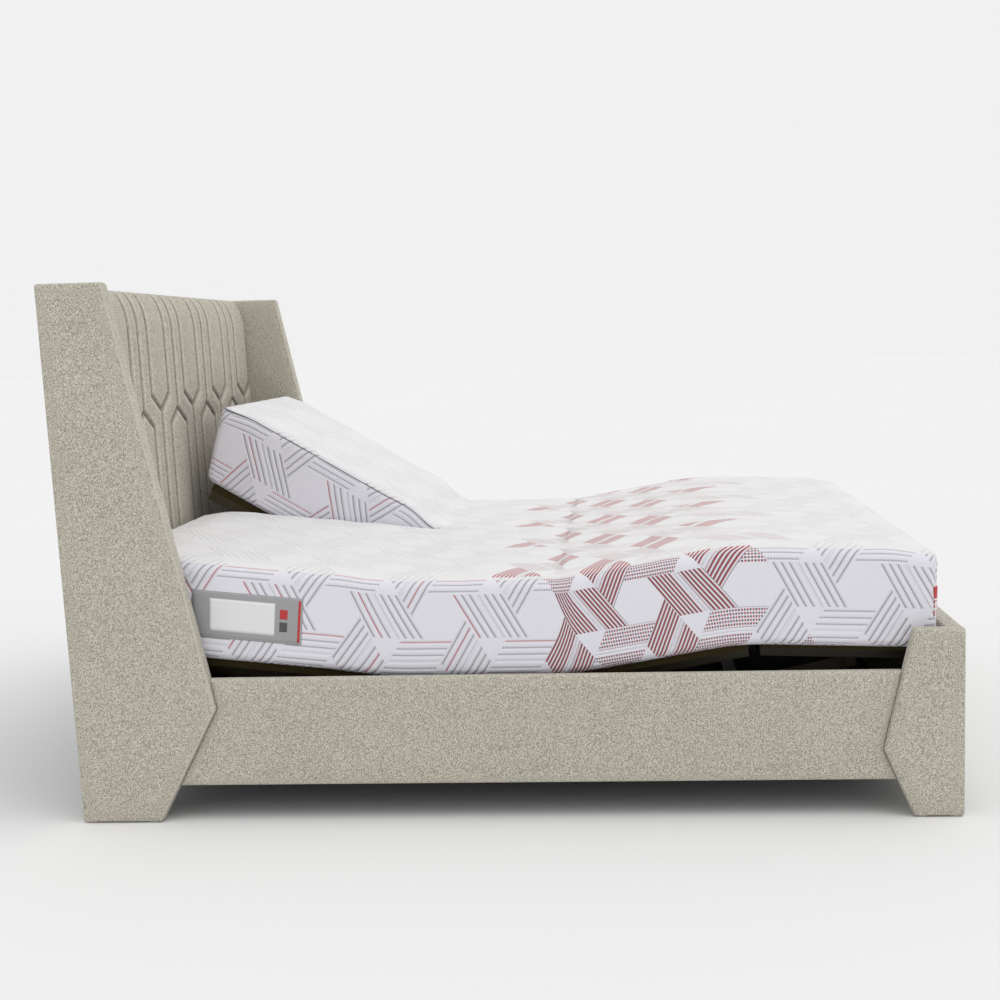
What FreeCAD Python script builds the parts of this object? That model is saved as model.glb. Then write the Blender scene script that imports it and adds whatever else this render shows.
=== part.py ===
"""King-size adjustable bed: an upholstered surround with a winged headboard, a steel base with
two head sections that rise one by one, a thigh section and a foot section, and the mattress on them.

Millimetres. X runs across the bed, +Y towards the head, +Z up. The origin is on the floor, at the
middle of the whole bed. Each moving section is drawn flat and then turned to its rest angle.
"""
import FreeCAD, Part
import math
import os
from FreeCAD import Vector

# ---- overall sizes -------------------------------------------------------------------------
WING_HEIGHT = 1333.0        # top of the headboard
WING_LEAN = 46.0            # how far the top of the headboard leans back
FLOOR_GAP = 3.0             # under the upholstery, filled by the glides
FIT = 1.0                   # gap between upholstered boards that are bolted together

# ---- headboard wings -----------------------------------------------------------------------
WING_T = 44.0
WING_FOOT_DEPTH = 198.0     # front to back at the floor
WING_KNEE_DEPTH = 345.0     # from the back at the floor to the knee
WING_KNEE_Z = 285.0
WING_TOP_DEPTH = 165.0
WING_ROUND = 18.0           # rounding of the wing's corners

# ---- foot wings, footboard and side rails --------------------------------------------------
FOOT_WING_HEIGHT = 461.0
FOOT_WING_TOP = 121.0
FOOT_WING_BOTTOM = 119.0
FOOT_WING_KNEE = 191.0
FOOT_WING_KNEE_Z = 167.0
FOOT_WING_ROUND = 8.0
FOOTBOARD_T = 42.0
RAIL_INSET = 15.0           # rails stand in from the wings' outer faces
RAIL_T = 29.0
RAIL_BOTTOM = 90.0
RAIL_TOP = 358.0

# ---- headboard panel -----------------------------------------------------------------------
BACK_CLOTH_T = 1.5
PANEL_T = 18.0
CHANNEL_T = 32.0
PANEL_BOTTOM = 120.0
PANEL_SIDE_GAP = 1.5
CHANNEL_GAP = 1.0
CHANNEL_MID_Z = 992.0       # height of the zigzag seam
CHANNEL_POINT = 46.0        # height of one zigzag point
CHANNEL_UNITS = 22          # narrow channels that would fit across; a wide one is two

# ---- mattress ------------------------------------------------------------------------------
MATTRESS_WIDTH = 1830.0
MATTRESS_T = 250.0
MATTRESS_SIDE_GAP = 18.5    # mattress to the inside of a wing
MATTRESS_FOOT_GAP = 51.0    # foot end of the bed to the mattress, lying flat
MATTRESS_HEAD_GAP = 74.0    # mattress to the back of the headboard at the floor
FOOT_LENGTH = 432.0
THIGH_LENGTH = 475.0
SEAT_LENGTH = 375.0
HEAD_LENGTH = 760.0
SPLIT_GAP = 4.0
SOFT_GAP = 2.0              # between mattress sections, each side
LABEL_SIZE = (270.0, 118.0)
LABEL_T = 0.8
LABEL_FROM_HINGE = 270.0
LABEL_UP = 58.0

# ---- movement ------------------------------------------------------------------------------
HEAD_MAX = 60.0
THIGH_MAX = 35.0
FOOT_RATIO = -1.198         # foot section's turn for each degree of the thigh section
REST_HEAD_LEFT = 6.0
REST_HEAD_RIGHT = 31.0
REST_THIGH = 9.6

# ---- deck and its frames -------------------------------------------------------------------
DECK_TOP = 345.0
BOARD_T = 20.0
BOARD_INSET = 25.0          # board edge in from the mattress edge
TUBE = 30.0                 # square tube of the deck frames
TUBE_WALL = 2.0
END_GAP = 15.0              # deck end to the hinge axis
FRAME_INSET = 80.0          # deck frames' side tubes in from the mattress edge
SPLIT_INSET = 12.0          # inner tubes from the bed's middle line
LUG_T = 6.0
LUG_R = 14.0
PIN_R = 6.0
RUN_CLEAR = 0.05            # radial clearance of pins that turn
LUG_INSET = 135.0           # outer hinge lugs in from the frame's outer face
LUG_INNER_X = 240.0
PIN_HEAD = 4.0              # height of a hinge pin's head
PIN_HEAD_RIM = 3.0
LUG_SIDE_GAP = 1.0          # between the two lugs of a pair
RUNNER_X = 300.0            # thigh runners and lift rollers, from the middle

# ---- head sections' curved rails -----------------------------------------------------------
HEAD_AXIS_UP = 160.0        # turning axis above the deck
CURVE_R = 300.0
CURVE_DEPTH = 26.0
CURVE_T = 8.0
CURVE_START = -131.0        # tail of the rail, lying flat (degrees round the axis)
SHOE_ANGLES = (-66.0, -52.0)
SHOE_SPAN = 7.0
SHOE_DEPTH = 12.0
SHOE_CLEAR = 0.3
GUIDE_T = 6.0
GUIDE_GAP = 1.0
GUIDE_FROM_HINGE = (95.0, 225.0)
GUIDE_TOP_GAP = 3.0         # guide plate to the deck frame, lying flat
CURVE_END = -20.0           # past the head end of the rail, cut off at the frame
WEB_REACH = 20.0

# ---- fixed base ----------------------------------------------------------------------------
BASE_SIDE_OUT = 15.0        # long tubes' outer face, out from the deck frames' face
BASE_SIDE_W = 50.0
BASE_DROP = 255.0           # underside of the base, down from the deck
BASE_SIDE_H = 45.0
CROSS_H = 36.0
BASE_FOOT_GAP = 120.0
BASE_HEAD_GAP = 90.0
LEG_R = 25.0
LEG_GLIDE_R = 28.0
LEG_GLIDE_H = 8.0
LEG_INSET = 275.0           # legs in from the frame's outer face, well inside the rails
DUST_COVER_T = 1.5
DUST_COVER_CLEAR = 1.0      # round each leg
POST_W = 26.0
POST_INSET = 1.0
CROSS_W = 40.0
PLATE_CROSS_BACK = 500.0    # cross tube of the electronics, from the back of the bed

# ---- drives --------------------------------------------------------------------------------
HEAD_DRIVE_INSET = 385.0    # head drives in from the frame's outer face
HEAD_DRIVE_BACK = 211.0     # base pivot, from the head hinge towards the foot
HEAD_DRIVE_DROP = 189.0     # base pivot, down from the deck
HEAD_PIN_Y = 222.0          # rod end, from the head hinge, lying flat
HEAD_PIN_DROP = 192.0
HEAD_DRIVE_TILT = (-0.005, 0.509)     # radians lying flat, and per radian of the head section
HEAD_DRIVE_LENGTH = (442.8, 279.4)    # pin to pin lying flat, and per radian
HEAD_PIN_CLEAR = 11.5
THIGH_DRIVE_BACK = 300.0    # base pivot, from the thigh hinge towards the head
THIGH_DRIVE_DROP = 165.0
THIGH_DRIVE_TILT = (-0.180, 0.157)
THIGH_DRIVE_LENGTH = (352.6, 72.6)
THIGH_PIN_CLEAR = 3.5
TORQUE_Y = 20.0             # torque tube, from the thigh hinge towards the foot
TORQUE_DROP = 130.0
TORQUE_R = 17.0
TORQUE_END_GAP = 30.0       # torque tube's end to the long tube
ARM_T = 8.0
ARM_RIM = 1.0               # arm's round end over the torque tube
LEVER_RIM = 3.0
BEARING_W = 60.0
BEARING_HALF = 26.0
BLOCK_RAISE = 10.0          # blocks start above the underside of the long tubes
ARM_LENGTH = 171.0
ARM_ANGLE = 20.2
ARM_RATIO = 0.942
LEVER_LENGTH = 100.0
LEVER_ANGLE = -75.0
ROLLER_R = 20.0
ROLLER_W = 40.0
LINK_PIVOT_Y = 258.0        # from the thigh hinge towards the foot
LINK_PIVOT_DROP = 105.0
LINK_LENGTH_TRIM = 1.903    # link's length over the flat distance between its pivots
LINK_ANGLE_TRIM = -0.086    # and its turn from the line between them, in degrees
LINK_RATIO = 0.9267
LINK_FOOT_Y = 246.0         # pin on the foot frame, from the knee
LINK_FOOT_DROP = 34.0
LINK_INSET = 65.0
LINK_T = 8.0
LINK_PIN_R = 8.0
LINK_CLEAR = 3.5
LINK_END_R = 15.5
LINK_PIN_END = 3.0          # pin past the link's inner face
LINK_BRACKET_GAP = 4.0      # link to its bracket or hanger
LINK_BRACKET_HALF = 16.0
HANGER_HALF = 13.0
ROD_R = 11.0
SLEEVE_R = 18.0
EYE_R = 13.0
EYE_HALF = 12.0
YOKE_HALF = 20.0            # from a rod end to the plates beside it, wider than the sleeve
YOKE_RIM = 7.5
GEARBOX = (20.0, 88.0, 26.0)          # start, end and half depth along the drive
MOTOR_R = 20.0
MOTOR_LENGTH = 90.0
MOTOR_OFFSET = 52.0
SLEEVE_BACK = 14.0          # sleeve's end back from the rod's eye
BORE_BACK = 8.0             # rod's bore into the gearbox
CLEVIS_BACK = 35.0          # cross tube's middle to the drive's base pivot
PIN_PAST = 2.0              # rod end's pin past the plates beside it
CLEVIS_GAP = 1.0

# ---- brackets, bolts and glides ------------------------------------------------------------
CORNER_BRACKET = (60.0, 200.0, 4.0)   # leg, height and sheet thickness
CORNER_BRACKET_Z = 140.0
CORNER_BOLT_SHARES = (0.2, 0.5, 0.8)
JOINT_PLATE = (120.0, 90.0)           # length and height of the plates that join rails and wings
JOINT_PLATE_Z = (175.0, 150.0)        # underside at the head end and at the foot end
BOLT_R = 4.0
BOLT_HEAD_R = 8.0
BOLT_HEAD_H = 5.0
BOLT_DEPTH = 20.0
GLIDE_R = 14.0

# ---- electronics ---------------------------------------------------------------------------
PLATE_HALF = (210.0, 80.0)
PLATE_T = 2.0
CONTROL_SIZE = (180.0, 120.0, 45.0)
CONTROL_X = -95.0
SUPPLY_SIZE = (150.0, 80.0, 40.0)
SUPPLY_X = 110.0
CASING_ROUND = 8.0
INLET_SIZE = (28.0, 8.0, 24.0)
INLET_UP = 8.0
INLET_WALL = 3.0
INLET_FLOOR = 2.0
LEAD_R = 3.5
LEAD_UP = 6.0
LEAD_TURN = 12.0
LEAD_SLACK = 4.0
LEAD_EXIT = 40.0            # lead's exit from a casing's middle

# ---- derived places ------------------------------------------------------------------------
OUTER_WIDTH = MATTRESS_WIDTH + 2.0 * (MATTRESS_SIDE_GAP + WING_T)
MATTRESS_LENGTH = FOOT_LENGTH + THIGH_LENGTH + SEAT_LENGTH + HEAD_LENGTH
FLOOR_LENGTH = MATTRESS_FOOT_GAP + MATTRESS_LENGTH + MATTRESS_HEAD_GAP
LEAN_ANGLE = math.degrees(math.atan2(WING_LEAN, WING_HEIGHT))
FOOT_Y = -(FLOOR_LENGTH + WING_LEAN) / 2.0
BACK_Y = FOOT_Y + FLOOR_LENGTH
HALF = OUTER_WIDTH / 2.0
WING_INNER = HALF - WING_T
RAIL_OUTER = HALF - RAIL_INSET
KNEE_Y = FOOT_Y + MATTRESS_FOOT_GAP + FOOT_LENGTH
THIGH_Y = KNEE_Y + THIGH_LENGTH
HEAD_Y = THIGH_Y + SEAT_LENGTH
MATTRESS_HALF = MATTRESS_WIDTH / 2.0
BOARD_HALF = MATTRESS_HALF - BOARD_INSET
FRAME_HALF = MATTRESS_HALF - FRAME_INSET
BASE_SIDE_X = (FRAME_HALF + BASE_SIDE_OUT - BASE_SIDE_W, FRAME_HALF + BASE_SIDE_OUT)
POST_X = (FRAME_HALF - POST_INSET - POST_W, FRAME_HALF - POST_INSET)
LEG_X = FRAME_HALF - LEG_INSET
HEAD_DRIVE_X = FRAME_HALF - HEAD_DRIVE_INSET
LUG_OUTER_X = FRAME_HALF - LUG_INSET
LUG_XS = (-LUG_OUTER_X, -LUG_INNER_X, LUG_INNER_X, LUG_OUTER_X)
LINK_X = FRAME_HALF - LINK_INSET
LINK_BRACKET_X = (LINK_X + LINK_T / 2.0 + LINK_BRACKET_GAP, BASE_SIDE_X[0])
TORQUE_HALF = BASE_SIDE_X[0] - TORQUE_END_GAP
BEARING_X = (BASE_SIDE_X[0] - BEARING_W, BASE_SIDE_X[0])
BASE_Z = DECK_TOP - BASE_DROP
HEAD_DRIVE_Z = DECK_TOP - HEAD_DRIVE_DROP
HEAD_PIN_Z = DECK_TOP - HEAD_PIN_DROP
THIGH_DRIVE_Z = DECK_TOP - THIGH_DRIVE_DROP
TORQUE_Z = DECK_TOP - TORQUE_DROP
LINK_PIVOT_Z = DECK_TOP - LINK_PIVOT_DROP
FRAME_TOP = DECK_TOP - BOARD_T
FRAME_BOTTOM = FRAME_TOP - TUBE
HINGE_Z = FRAME_BOTTOM + TUBE / 2.0
HEAD_AXIS_Z = DECK_TOP + HEAD_AXIS_UP
SIDE_TUBE_IN = FRAME_HALF - TUBE
CROSS_TOP = BASE_Z + CROSS_H
SIDE_TOP = BASE_Z + BASE_SIDE_H
HEAD_DRIVE_Y = HEAD_Y - HEAD_DRIVE_BACK
THIGH_DRIVE_Y = THIGH_Y + THIGH_DRIVE_BACK
HEAD_AXIS = Vector(0, HEAD_Y, HEAD_AXIS_Z)
THIGH_AXIS = Vector(0, THIGH_Y, HINGE_Z)
KNEE_AXIS = Vector(0, KNEE_Y, HINGE_Z)
X_AXIS = Vector(1, 0, 0)
LINK_SPAN = (THIGH_LENGTH + LINK_FOOT_Y - LINK_PIVOT_Y, HINGE_Z - LINK_FOOT_DROP - LINK_PIVOT_Z)
LINK_LENGTH = math.hypot(*LINK_SPAN) + LINK_LENGTH_TRIM
LINK_ANGLE = math.degrees(math.atan2(LINK_SPAN[1], LINK_SPAN[0])) + LINK_ANGLE_TRIM
TORQUE_PLACE = Vector(0, THIGH_Y - TORQUE_Y, TORQUE_Z)


# ---- helpers -------------------------------------------------------------------------------
def box(x0, x1, y0, y1, z0, z1):
    """A block between two corners."""
    return Part.makeBox(x1 - x0, y1 - y0, z1 - z0, Vector(x0, y0, z0))


def hollow(x0, x1, y0, y1, z0, z1):
    """A steel tube with square corners, open at both ends, along its longest side."""
    sizes = (x1 - x0, y1 - y0, z1 - z0)
    walls = [0.0 if size == max(sizes) else TUBE_WALL for size in sizes]
    inside = box(
        x0 + walls[0], x1 - walls[0],
        y0 + walls[1], y1 - walls[1],
        z0 + walls[2], z1 - walls[2],
    )
    return box(x0, x1, y0, y1, z0, z1).cut(inside)


def rod_x(x0, x1, y, z, radius):
    """A round bar along X."""
    return Part.makeCylinder(radius, x1 - x0, Vector(x0, y, z), X_AXIS)


def rod_z(x, y, z0, z1, radius):
    """A round bar along Z."""
    return Part.makeCylinder(radius, z1 - z0, Vector(x, y, z0), Vector(0, 0, 1))


def side_profile(points, x0, x1):
    """Side outline (y, z) made into a board from x0 to x1."""
    corners = [Vector(x0, y, z) for y, z in points]
    face = Part.Face(Part.makePolygon(corners + corners[:1]))
    return face.extrude(Vector(x1 - x0, 0, 0))


def front_profile(points, y0, y1):
    """Front outline (x, z) made into a board from y0 to y1."""
    corners = [Vector(x, y0, z) for x, z in points]
    face = Part.Face(Part.makePolygon(corners + corners[:1]))
    return face.extrude(Vector(0, y1 - y0, 0))


def round_across(shape, radius, keep):
    """Round the edges that run along X and whose middle passes the test."""
    edges = []
    for edge in shape.Edges:
        middle = edge.CenterOfMass
        ends = [vertex.Point for vertex in edge.Vertexes]
        if len(ends) != 2 or abs(ends[0].x - ends[1].x) < 1.0:
            continue
        if (ends[0] - ends[1]).cross(X_AXIS).Length < 1e-3 and keep(middle):
            edges.append(edge)
    return shape.makeFillet(radius, edges)


def ring(radius_in, radius_out, start, end, x0, x1, centre):
    """A curved bar round an axis along X, between two angles in degrees from +Y towards +Z."""
    def at(radius, angle):
        turn = math.radians(angle)
        return Vector(x0, centre.y + radius * math.cos(turn), centre.z + radius * math.sin(turn))

    middle = (start + end) / 2.0
    edges = [
        Part.Arc(at(radius_in, start), at(radius_in, middle), at(radius_in, end)).toShape(),
        Part.makeLine(at(radius_in, end), at(radius_out, end)),
        Part.Arc(at(radius_out, end), at(radius_out, middle), at(radius_out, start)).toShape(),
        Part.makeLine(at(radius_out, start), at(radius_in, start)),
    ]
    return Part.Face(Part.Wire(edges)).extrude(Vector(x1 - x0, 0, 0))


def turned(shape, centre, degrees):
    """The shape turned about an axis along X; positive lifts what lies towards the head."""
    out = shape.copy()
    out.rotate(centre, X_AXIS, degrees)
    return out


def group(shapes):
    """Several separate solids of one node."""
    return Part.makeCompound(shapes)


def both_sides(shape):
    """The shape and its mirror image on the other side of the bed."""
    return [shape, shape.mirror(Vector(0, 0, 0), X_AXIS)]


def lug(x, tube_y, y, z, radius, hole):
    """A hinge lug: a plate from a tube's face to a pin, with a round end and a hole."""
    low, high = min(tube_y, y), max(tube_y, y)
    plate = box(x, x + LUG_T, low, high, z - radius, z + radius)
    plate = plate.fuse(rod_x(x, x + LUG_T, y, z, radius))
    return plate.cut(rod_x(x - 1, x + LUG_T + 1, y, z, hole)).removeSplitter()


def strap(x0, x1, start, end, radius, start_hole, end_hole):
    """A flat bar with round ends and a hole at each end; start and end are (y, z)."""
    dy, dz = end[0] - start[0], end[1] - start[1]
    length = math.hypot(dy, dz)
    ny, nz = -dz / length * radius, dy / length * radius
    outline = [
        (start[0] + ny, start[1] + nz),
        (end[0] + ny, end[1] + nz),
        (end[0] - ny, end[1] - nz),
        (start[0] - ny, start[1] - nz),
    ]
    bar = side_profile(outline, x0, x1)
    bar = bar.fuse([rod_x(x0, x1, start[0], start[1], radius), rod_x(x0, x1, end[0], end[1], radius)])
    for (y, z), hole in ((start, start_hole), (end, end_hole)):
        if hole > 0:
            bar = bar.cut(rod_x(x0 - 1, x1 + 1, y, z, hole))
    return bar.removeSplitter()


# ---- upholstered surround ------------------------------------------------------------------
def wing_outline(grow):
    """Side outline of a headboard wing, its front edges moved forward by grow."""
    return [
        (BACK_Y, FLOOR_GAP),
        (BACK_Y - WING_FOOT_DEPTH - grow, FLOOR_GAP),
        (BACK_Y - WING_KNEE_DEPTH - grow, WING_KNEE_Z),
        (BACK_Y + WING_LEAN - WING_TOP_DEPTH - grow, WING_HEIGHT),
        (BACK_Y + WING_LEAN, WING_HEIGHT),
    ]


def foot_wing_outline(grow):
    """Side outline of a foot wing, its inner edges moved towards the head by grow."""
    return [
        (FOOT_Y, FLOOR_GAP),
        (FOOT_Y + FOOT_WING_BOTTOM + grow, FLOOR_GAP),
        (FOOT_Y + FOOT_WING_KNEE + grow, FOOT_WING_KNEE_Z),
        (FOOT_Y + FOOT_WING_TOP + grow, FOOT_WING_HEIGHT),
        (FOOT_Y, FOOT_WING_HEIGHT),
    ]


def wing():
    """Headboard wing on the +X side."""
    board = side_profile(wing_outline(0.0), WING_INNER, HALF)
    front_top = BACK_Y + WING_LEAN - WING_TOP_DEPTH
    return round_across(
        board,
        WING_ROUND,
        lambda p: abs(p.z - WING_KNEE_Z) < 1 or (abs(p.z - WING_HEIGHT) < 1 and abs(p.y - front_top) < 1),
    )


def foot_wing():
    """Foot wing on the +X side."""
    board = side_profile(foot_wing_outline(0.0), WING_INNER, HALF)
    return round_across(board, FOOT_WING_ROUND, lambda p: p.z > FOOT_WING_KNEE_Z - 1)


def side_rail():
    """Side rail on the +X side, cut to the slanted edges of both wings."""
    board = box(RAIL_OUTER - RAIL_T, RAIL_OUTER, FOOT_Y + FIT, BACK_Y, RAIL_BOTTOM, RAIL_TOP)
    head_cut = side_profile(wing_outline(FIT), WING_INNER - RAIL_T, HALF + RAIL_T)
    foot_cut = side_profile(foot_wing_outline(FIT), WING_INNER - RAIL_T, HALF + RAIL_T)
    return board.cut(head_cut).cut(foot_cut)


def footboard():
    """Footboard between the foot wings."""
    inner = WING_INNER - FIT
    return box(-inner, inner, FOOT_Y, FOOT_Y + FOOTBOARD_T, RAIL_BOTTOM, FOOT_WING_HEIGHT)


def leaned(shape):
    """An upright headboard piece leaned back with the wings."""
    return turned(shape, Vector(0, BACK_Y, 0), -LEAN_ANGLE)


def channel_outlines():
    """Outlines (x, z) of the padded channels: the wide ones and the narrow ones between them."""
    unit = 2.0 * WING_INNER / CHANNEL_UNITS
    high, low = WING_HEIGHT, PANEL_BOTTOM
    mid, above, below = CHANNEL_MID_Z, CHANNEL_MID_Z + CHANNEL_POINT, CHANNEL_MID_Z - CHANNEL_POINT
    wide, narrow = [], []
    for tip in range(1, CHANNEL_UNITS, 4):
        wide.append([(tip - 1, high), (tip - 1, above), (tip, mid), (tip + 1, above), (tip + 1, high)])
    for tip in range(3, CHANNEL_UNITS, 4):
        wide.append([(tip - 1, low), (tip - 1, below), (tip, mid), (tip + 1, below), (tip + 1, low)])
        for way in (-1, 1):
            step = [(tip, high), (tip, mid), (tip + way, below), (tip + way, low)]
            back = [(tip + 2 * way, low), (tip + 2 * way, mid), (tip + way, above), (tip + way, high)]
            narrow.append(step + back)
    for end, way in ((0, 1), (CHANNEL_UNITS, -1)):
        narrow.append([(end, above), (end + way, mid), (end + way, low), (end, low)])
    return [[[(u * unit - WING_INNER, z) for u, z in outline] for outline in row] for row in (wide, narrow)]


def channels(outlines):
    """Padded channels, each its own solid, drawn in by half the gap between them."""
    front = BACK_Y - BACK_CLOTH_T - PANEL_T - CHANNEL_T
    limit = WING_INNER - PANEL_SIDE_GAP
    solids = []
    for outline in outlines:
        corners = [Vector(x, front, z) for x, z in outline]
        wire = Part.makePolygon(corners + corners[:1])
        face = Part.Face(wire.makeOffset2D(-CHANNEL_GAP / 2.0, 2))
        solid = face.extrude(Vector(0, CHANNEL_T, 0))
        solid = solid.common(box(-limit, limit, front, front + CHANNEL_T, PANEL_BOTTOM, WING_HEIGHT))
        solids.append(leaned(solid))
    return group(solids)


def headboard_frame():
    """Backing board behind the channels."""
    inner = WING_INNER - PANEL_SIDE_GAP
    rear = BACK_Y - BACK_CLOTH_T
    return leaned(box(-inner, inner, rear - PANEL_T, rear, PANEL_BOTTOM, WING_HEIGHT))


def headboard_back_cloth():
    """Lining cloth stapled to the back of the board."""
    inner = WING_INNER - PANEL_SIDE_GAP
    return leaned(box(-inner, inner, BACK_Y - BACK_CLOTH_T, BACK_Y, PANEL_BOTTOM, WING_HEIGHT))


def corner_bolt_places():
    """Bolt places (y, z) on the leg of a foot corner's angle."""
    leg, height, _ = CORNER_BRACKET
    y = FOOT_Y + FOOTBOARD_T + leg * 0.6
    return [(y, CORNER_BRACKET_Z + height * share) for share in CORNER_BOLT_SHARES]


def joint_plates():
    """Middle (y) and underside (z) of the two plates of one side rail."""
    return (
        (BACK_Y - WING_KNEE_DEPTH, JOINT_PLATE_Z[0]),
        (FOOT_Y + FOOT_WING_KNEE, JOINT_PLATE_Z[1]),
    )


def joint_bolt_places():
    """Bolt places (y, z) on both plates of one side rail, clear of the joint itself."""
    length, height = JOINT_PLATE
    places = []
    for middle, low in joint_plates():
        for offset in (-0.4, 0.4):
            places.append((middle + offset * length, low + height / 2.0))
    return places


def corner_brackets():
    """Steel angles inside the foot corners, and plates that join the rails to the wings."""
    leg, height, sheet = CORNER_BRACKET
    end = FOOT_Y + FOOTBOARD_T
    inner = WING_INNER
    upright = box(inner - sheet, inner, end, end + leg, CORNER_BRACKET_Z, CORNER_BRACKET_Z + height)
    across = box(inner - leg, inner - sheet, end, end + sheet, CORNER_BRACKET_Z, CORNER_BRACKET_Z + height)
    steel = [upright.fuse(across).removeSplitter()]
    length, plate_height = JOINT_PLATE
    for middle, low in joint_plates():
        ends = middle - length / 2.0, middle + length / 2.0
        steel.append(box(inner - sheet, inner, *ends, low, low + plate_height))
    parts = []
    for piece in steel:
        parts += both_sides(drilled(piece, corner_bolt_places() + joint_bolt_places(), inner - sheet - 1))
    return group(parts)


def drilled(shape, places, x0):
    """The shape with the bolts' holes, starting at x0."""
    for y, z in places:
        shape = shape.cut(rod_x(x0, WING_INNER + BOLT_DEPTH, y, z, BOLT_R))
    return shape


def corner_bolts():
    """Bolts that hold the angles and plates to the wings and rails."""
    sheet = CORNER_BRACKET[2]
    bolts = []
    for y, z in corner_bolt_places() + joint_bolt_places():
        shank = rod_x(WING_INNER - sheet, WING_INNER + BOLT_DEPTH, y, z, BOLT_R)
        head = rod_x(WING_INNER - sheet - BOLT_HEAD_H, WING_INNER - sheet, y, z, BOLT_HEAD_R)
        bolts += both_sides(shank.fuse(head).removeSplitter())
    return group(bolts)


def floor_glides():
    """Nylon glides under the four wings."""
    middle = HALF - WING_T / 2.0
    places = (
        FOOT_Y + GLIDE_R * 1.5,
        FOOT_Y + FOOT_WING_BOTTOM - GLIDE_R * 1.5,
        BACK_Y - WING_FOOT_DEPTH + GLIDE_R * 1.5,
        BACK_Y - GLIDE_R * 1.5,
    )
    glides = []
    for y in places:
        glides += both_sides(rod_z(middle, y, 0.0, FLOOR_GAP, GLIDE_R))
    return group(glides)


# ---- fixed base ----------------------------------------------------------------------------
def cross_tube_places():
    """Middle of each cross tube along the bed."""
    return {
        "foot": FOOT_Y + BASE_FOOT_GAP + CROSS_W / 2.0,
        "knee": KNEE_Y,
        "head_drives": HEAD_DRIVE_Y - CLEVIS_BACK,
        "thigh_drive": THIGH_DRIVE_Y + CLEVIS_BACK,
        "guides": HEAD_Y + sum(GUIDE_FROM_HINGE) / 2.0,
        "box": BACK_Y - PLATE_CROSS_BACK,
        "head": BACK_Y - BASE_HEAD_GAP - CROSS_W / 2.0,
    }


def base_sides():
    """The two long tubes of the base."""
    tube = hollow(*BASE_SIDE_X, FOOT_Y + BASE_FOOT_GAP, BACK_Y - BASE_HEAD_GAP, BASE_Z, SIDE_TOP)
    return group(both_sides(tube))


def base_cross_tubes():
    """Cross tubes welded between the long tubes."""
    tubes = []
    for y in cross_tube_places().values():
        inner = BASE_SIDE_X[0]
        tubes.append(hollow(-inner, inner, y - CROSS_W / 2.0, y + CROSS_W / 2.0, BASE_Z, CROSS_TOP))
    return group(tubes)


def leg_places():
    """Cross tubes that stand on legs."""
    places = cross_tube_places()
    return (places["foot"], places["head_drives"], places["head"])


def base_legs():
    """Six round legs under the cross tubes."""
    legs = []
    for y in leg_places():
        legs += both_sides(rod_z(LEG_X, y, LEG_GLIDE_H, BASE_Z, LEG_R))
    return group(legs)


def leg_glides():
    """Plastic glides under the legs."""
    glides = []
    for y in leg_places():
        glides += both_sides(rod_z(LEG_X, y, 0.0, LEG_GLIDE_H, LEG_GLIDE_R))
    return group(glides)


def dust_cover():
    """Dark lining under the base tubes, cut out round the legs."""
    outer = BASE_SIDE_X[1]
    low = BASE_Z - DUST_COVER_T
    sheet = box(-outer, outer, FOOT_Y + BASE_FOOT_GAP, BACK_Y - BASE_HEAD_GAP, low, BASE_Z)
    for y in leg_places():
        for x in (-LEG_X, LEG_X):
            sheet = sheet.cut(rod_z(x, y, low - 1.0, BASE_Z + 1.0, LEG_R + DUST_COVER_CLEAR))
    return sheet


def deck_posts():
    """Posts that carry the seat frame on the long tubes."""
    posts = []
    for y in (THIGH_Y + END_GAP, HEAD_Y - END_GAP - TUBE):
        posts += both_sides(hollow(*POST_X, y, y + TUBE, SIDE_TOP, FRAME_BOTTOM))
    return group(posts)


def frame_tubes(half, y0, y1, cross):
    """Side tubes and cross tubes of one full-width deck frame."""
    tubes = both_sides(hollow(half - TUBE, half, y0, y1, FRAME_BOTTOM, FRAME_TOP))
    inner = half - TUBE
    for y in cross:
        tubes.append(hollow(-inner, inner, y, y + TUBE, FRAME_BOTTOM, FRAME_TOP))
    return tubes


def seat_frame():
    """Fixed frame under the seat, with the lugs of the thigh hinge."""
    y0, y1 = THIGH_Y + END_GAP, HEAD_Y - END_GAP
    parts = frame_tubes(FRAME_HALF, y0, y1, (y0, y1 - TUBE))
    parts += [lug(x, y0, THIGH_Y, HINGE_Z, LUG_R, PIN_R) for x in LUG_XS]
    return group(parts)


def hinge_pins(y):
    """Pins through pairs of lugs, with a head at one end."""
    pins = []
    for x in LUG_XS:
        shank = rod_x(x, x + 2 * LUG_T + PIN_HEAD, y, HINGE_Z, PIN_R)
        head = rod_x(x - PIN_HEAD, x, y, HINGE_Z, PIN_R + PIN_HEAD_RIM)
        pins.append(shank.fuse(head).removeSplitter())
    return group(pins)


def board(x0, x1, y0, y1):
    """One deck board."""
    return box(x0, x1, y0, y1, FRAME_TOP, DECK_TOP)


def guide_xs():
    """For one side of the bed: each curved rail's (low x, guide plate's low x)."""
    outer = SIDE_TUBE_IN - CURVE_T
    inner = SPLIT_INSET + TUBE
    return ((outer, outer - GUIDE_GAP - GUIDE_T), (inner, inner + CURVE_T + GUIDE_GAP))


def head_guide_plates():
    """Plates on the base that carry the guide shoes."""
    low, high = HEAD_Y + GUIDE_FROM_HINGE[0], HEAD_Y + GUIDE_FROM_HINGE[1]
    plates = []
    for _, x in guide_xs():
        plates += both_sides(box(x, x + GUIDE_T, low, high, CROSS_TOP, FRAME_BOTTOM - GUIDE_TOP_GAP))
    return group(plates)


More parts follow.
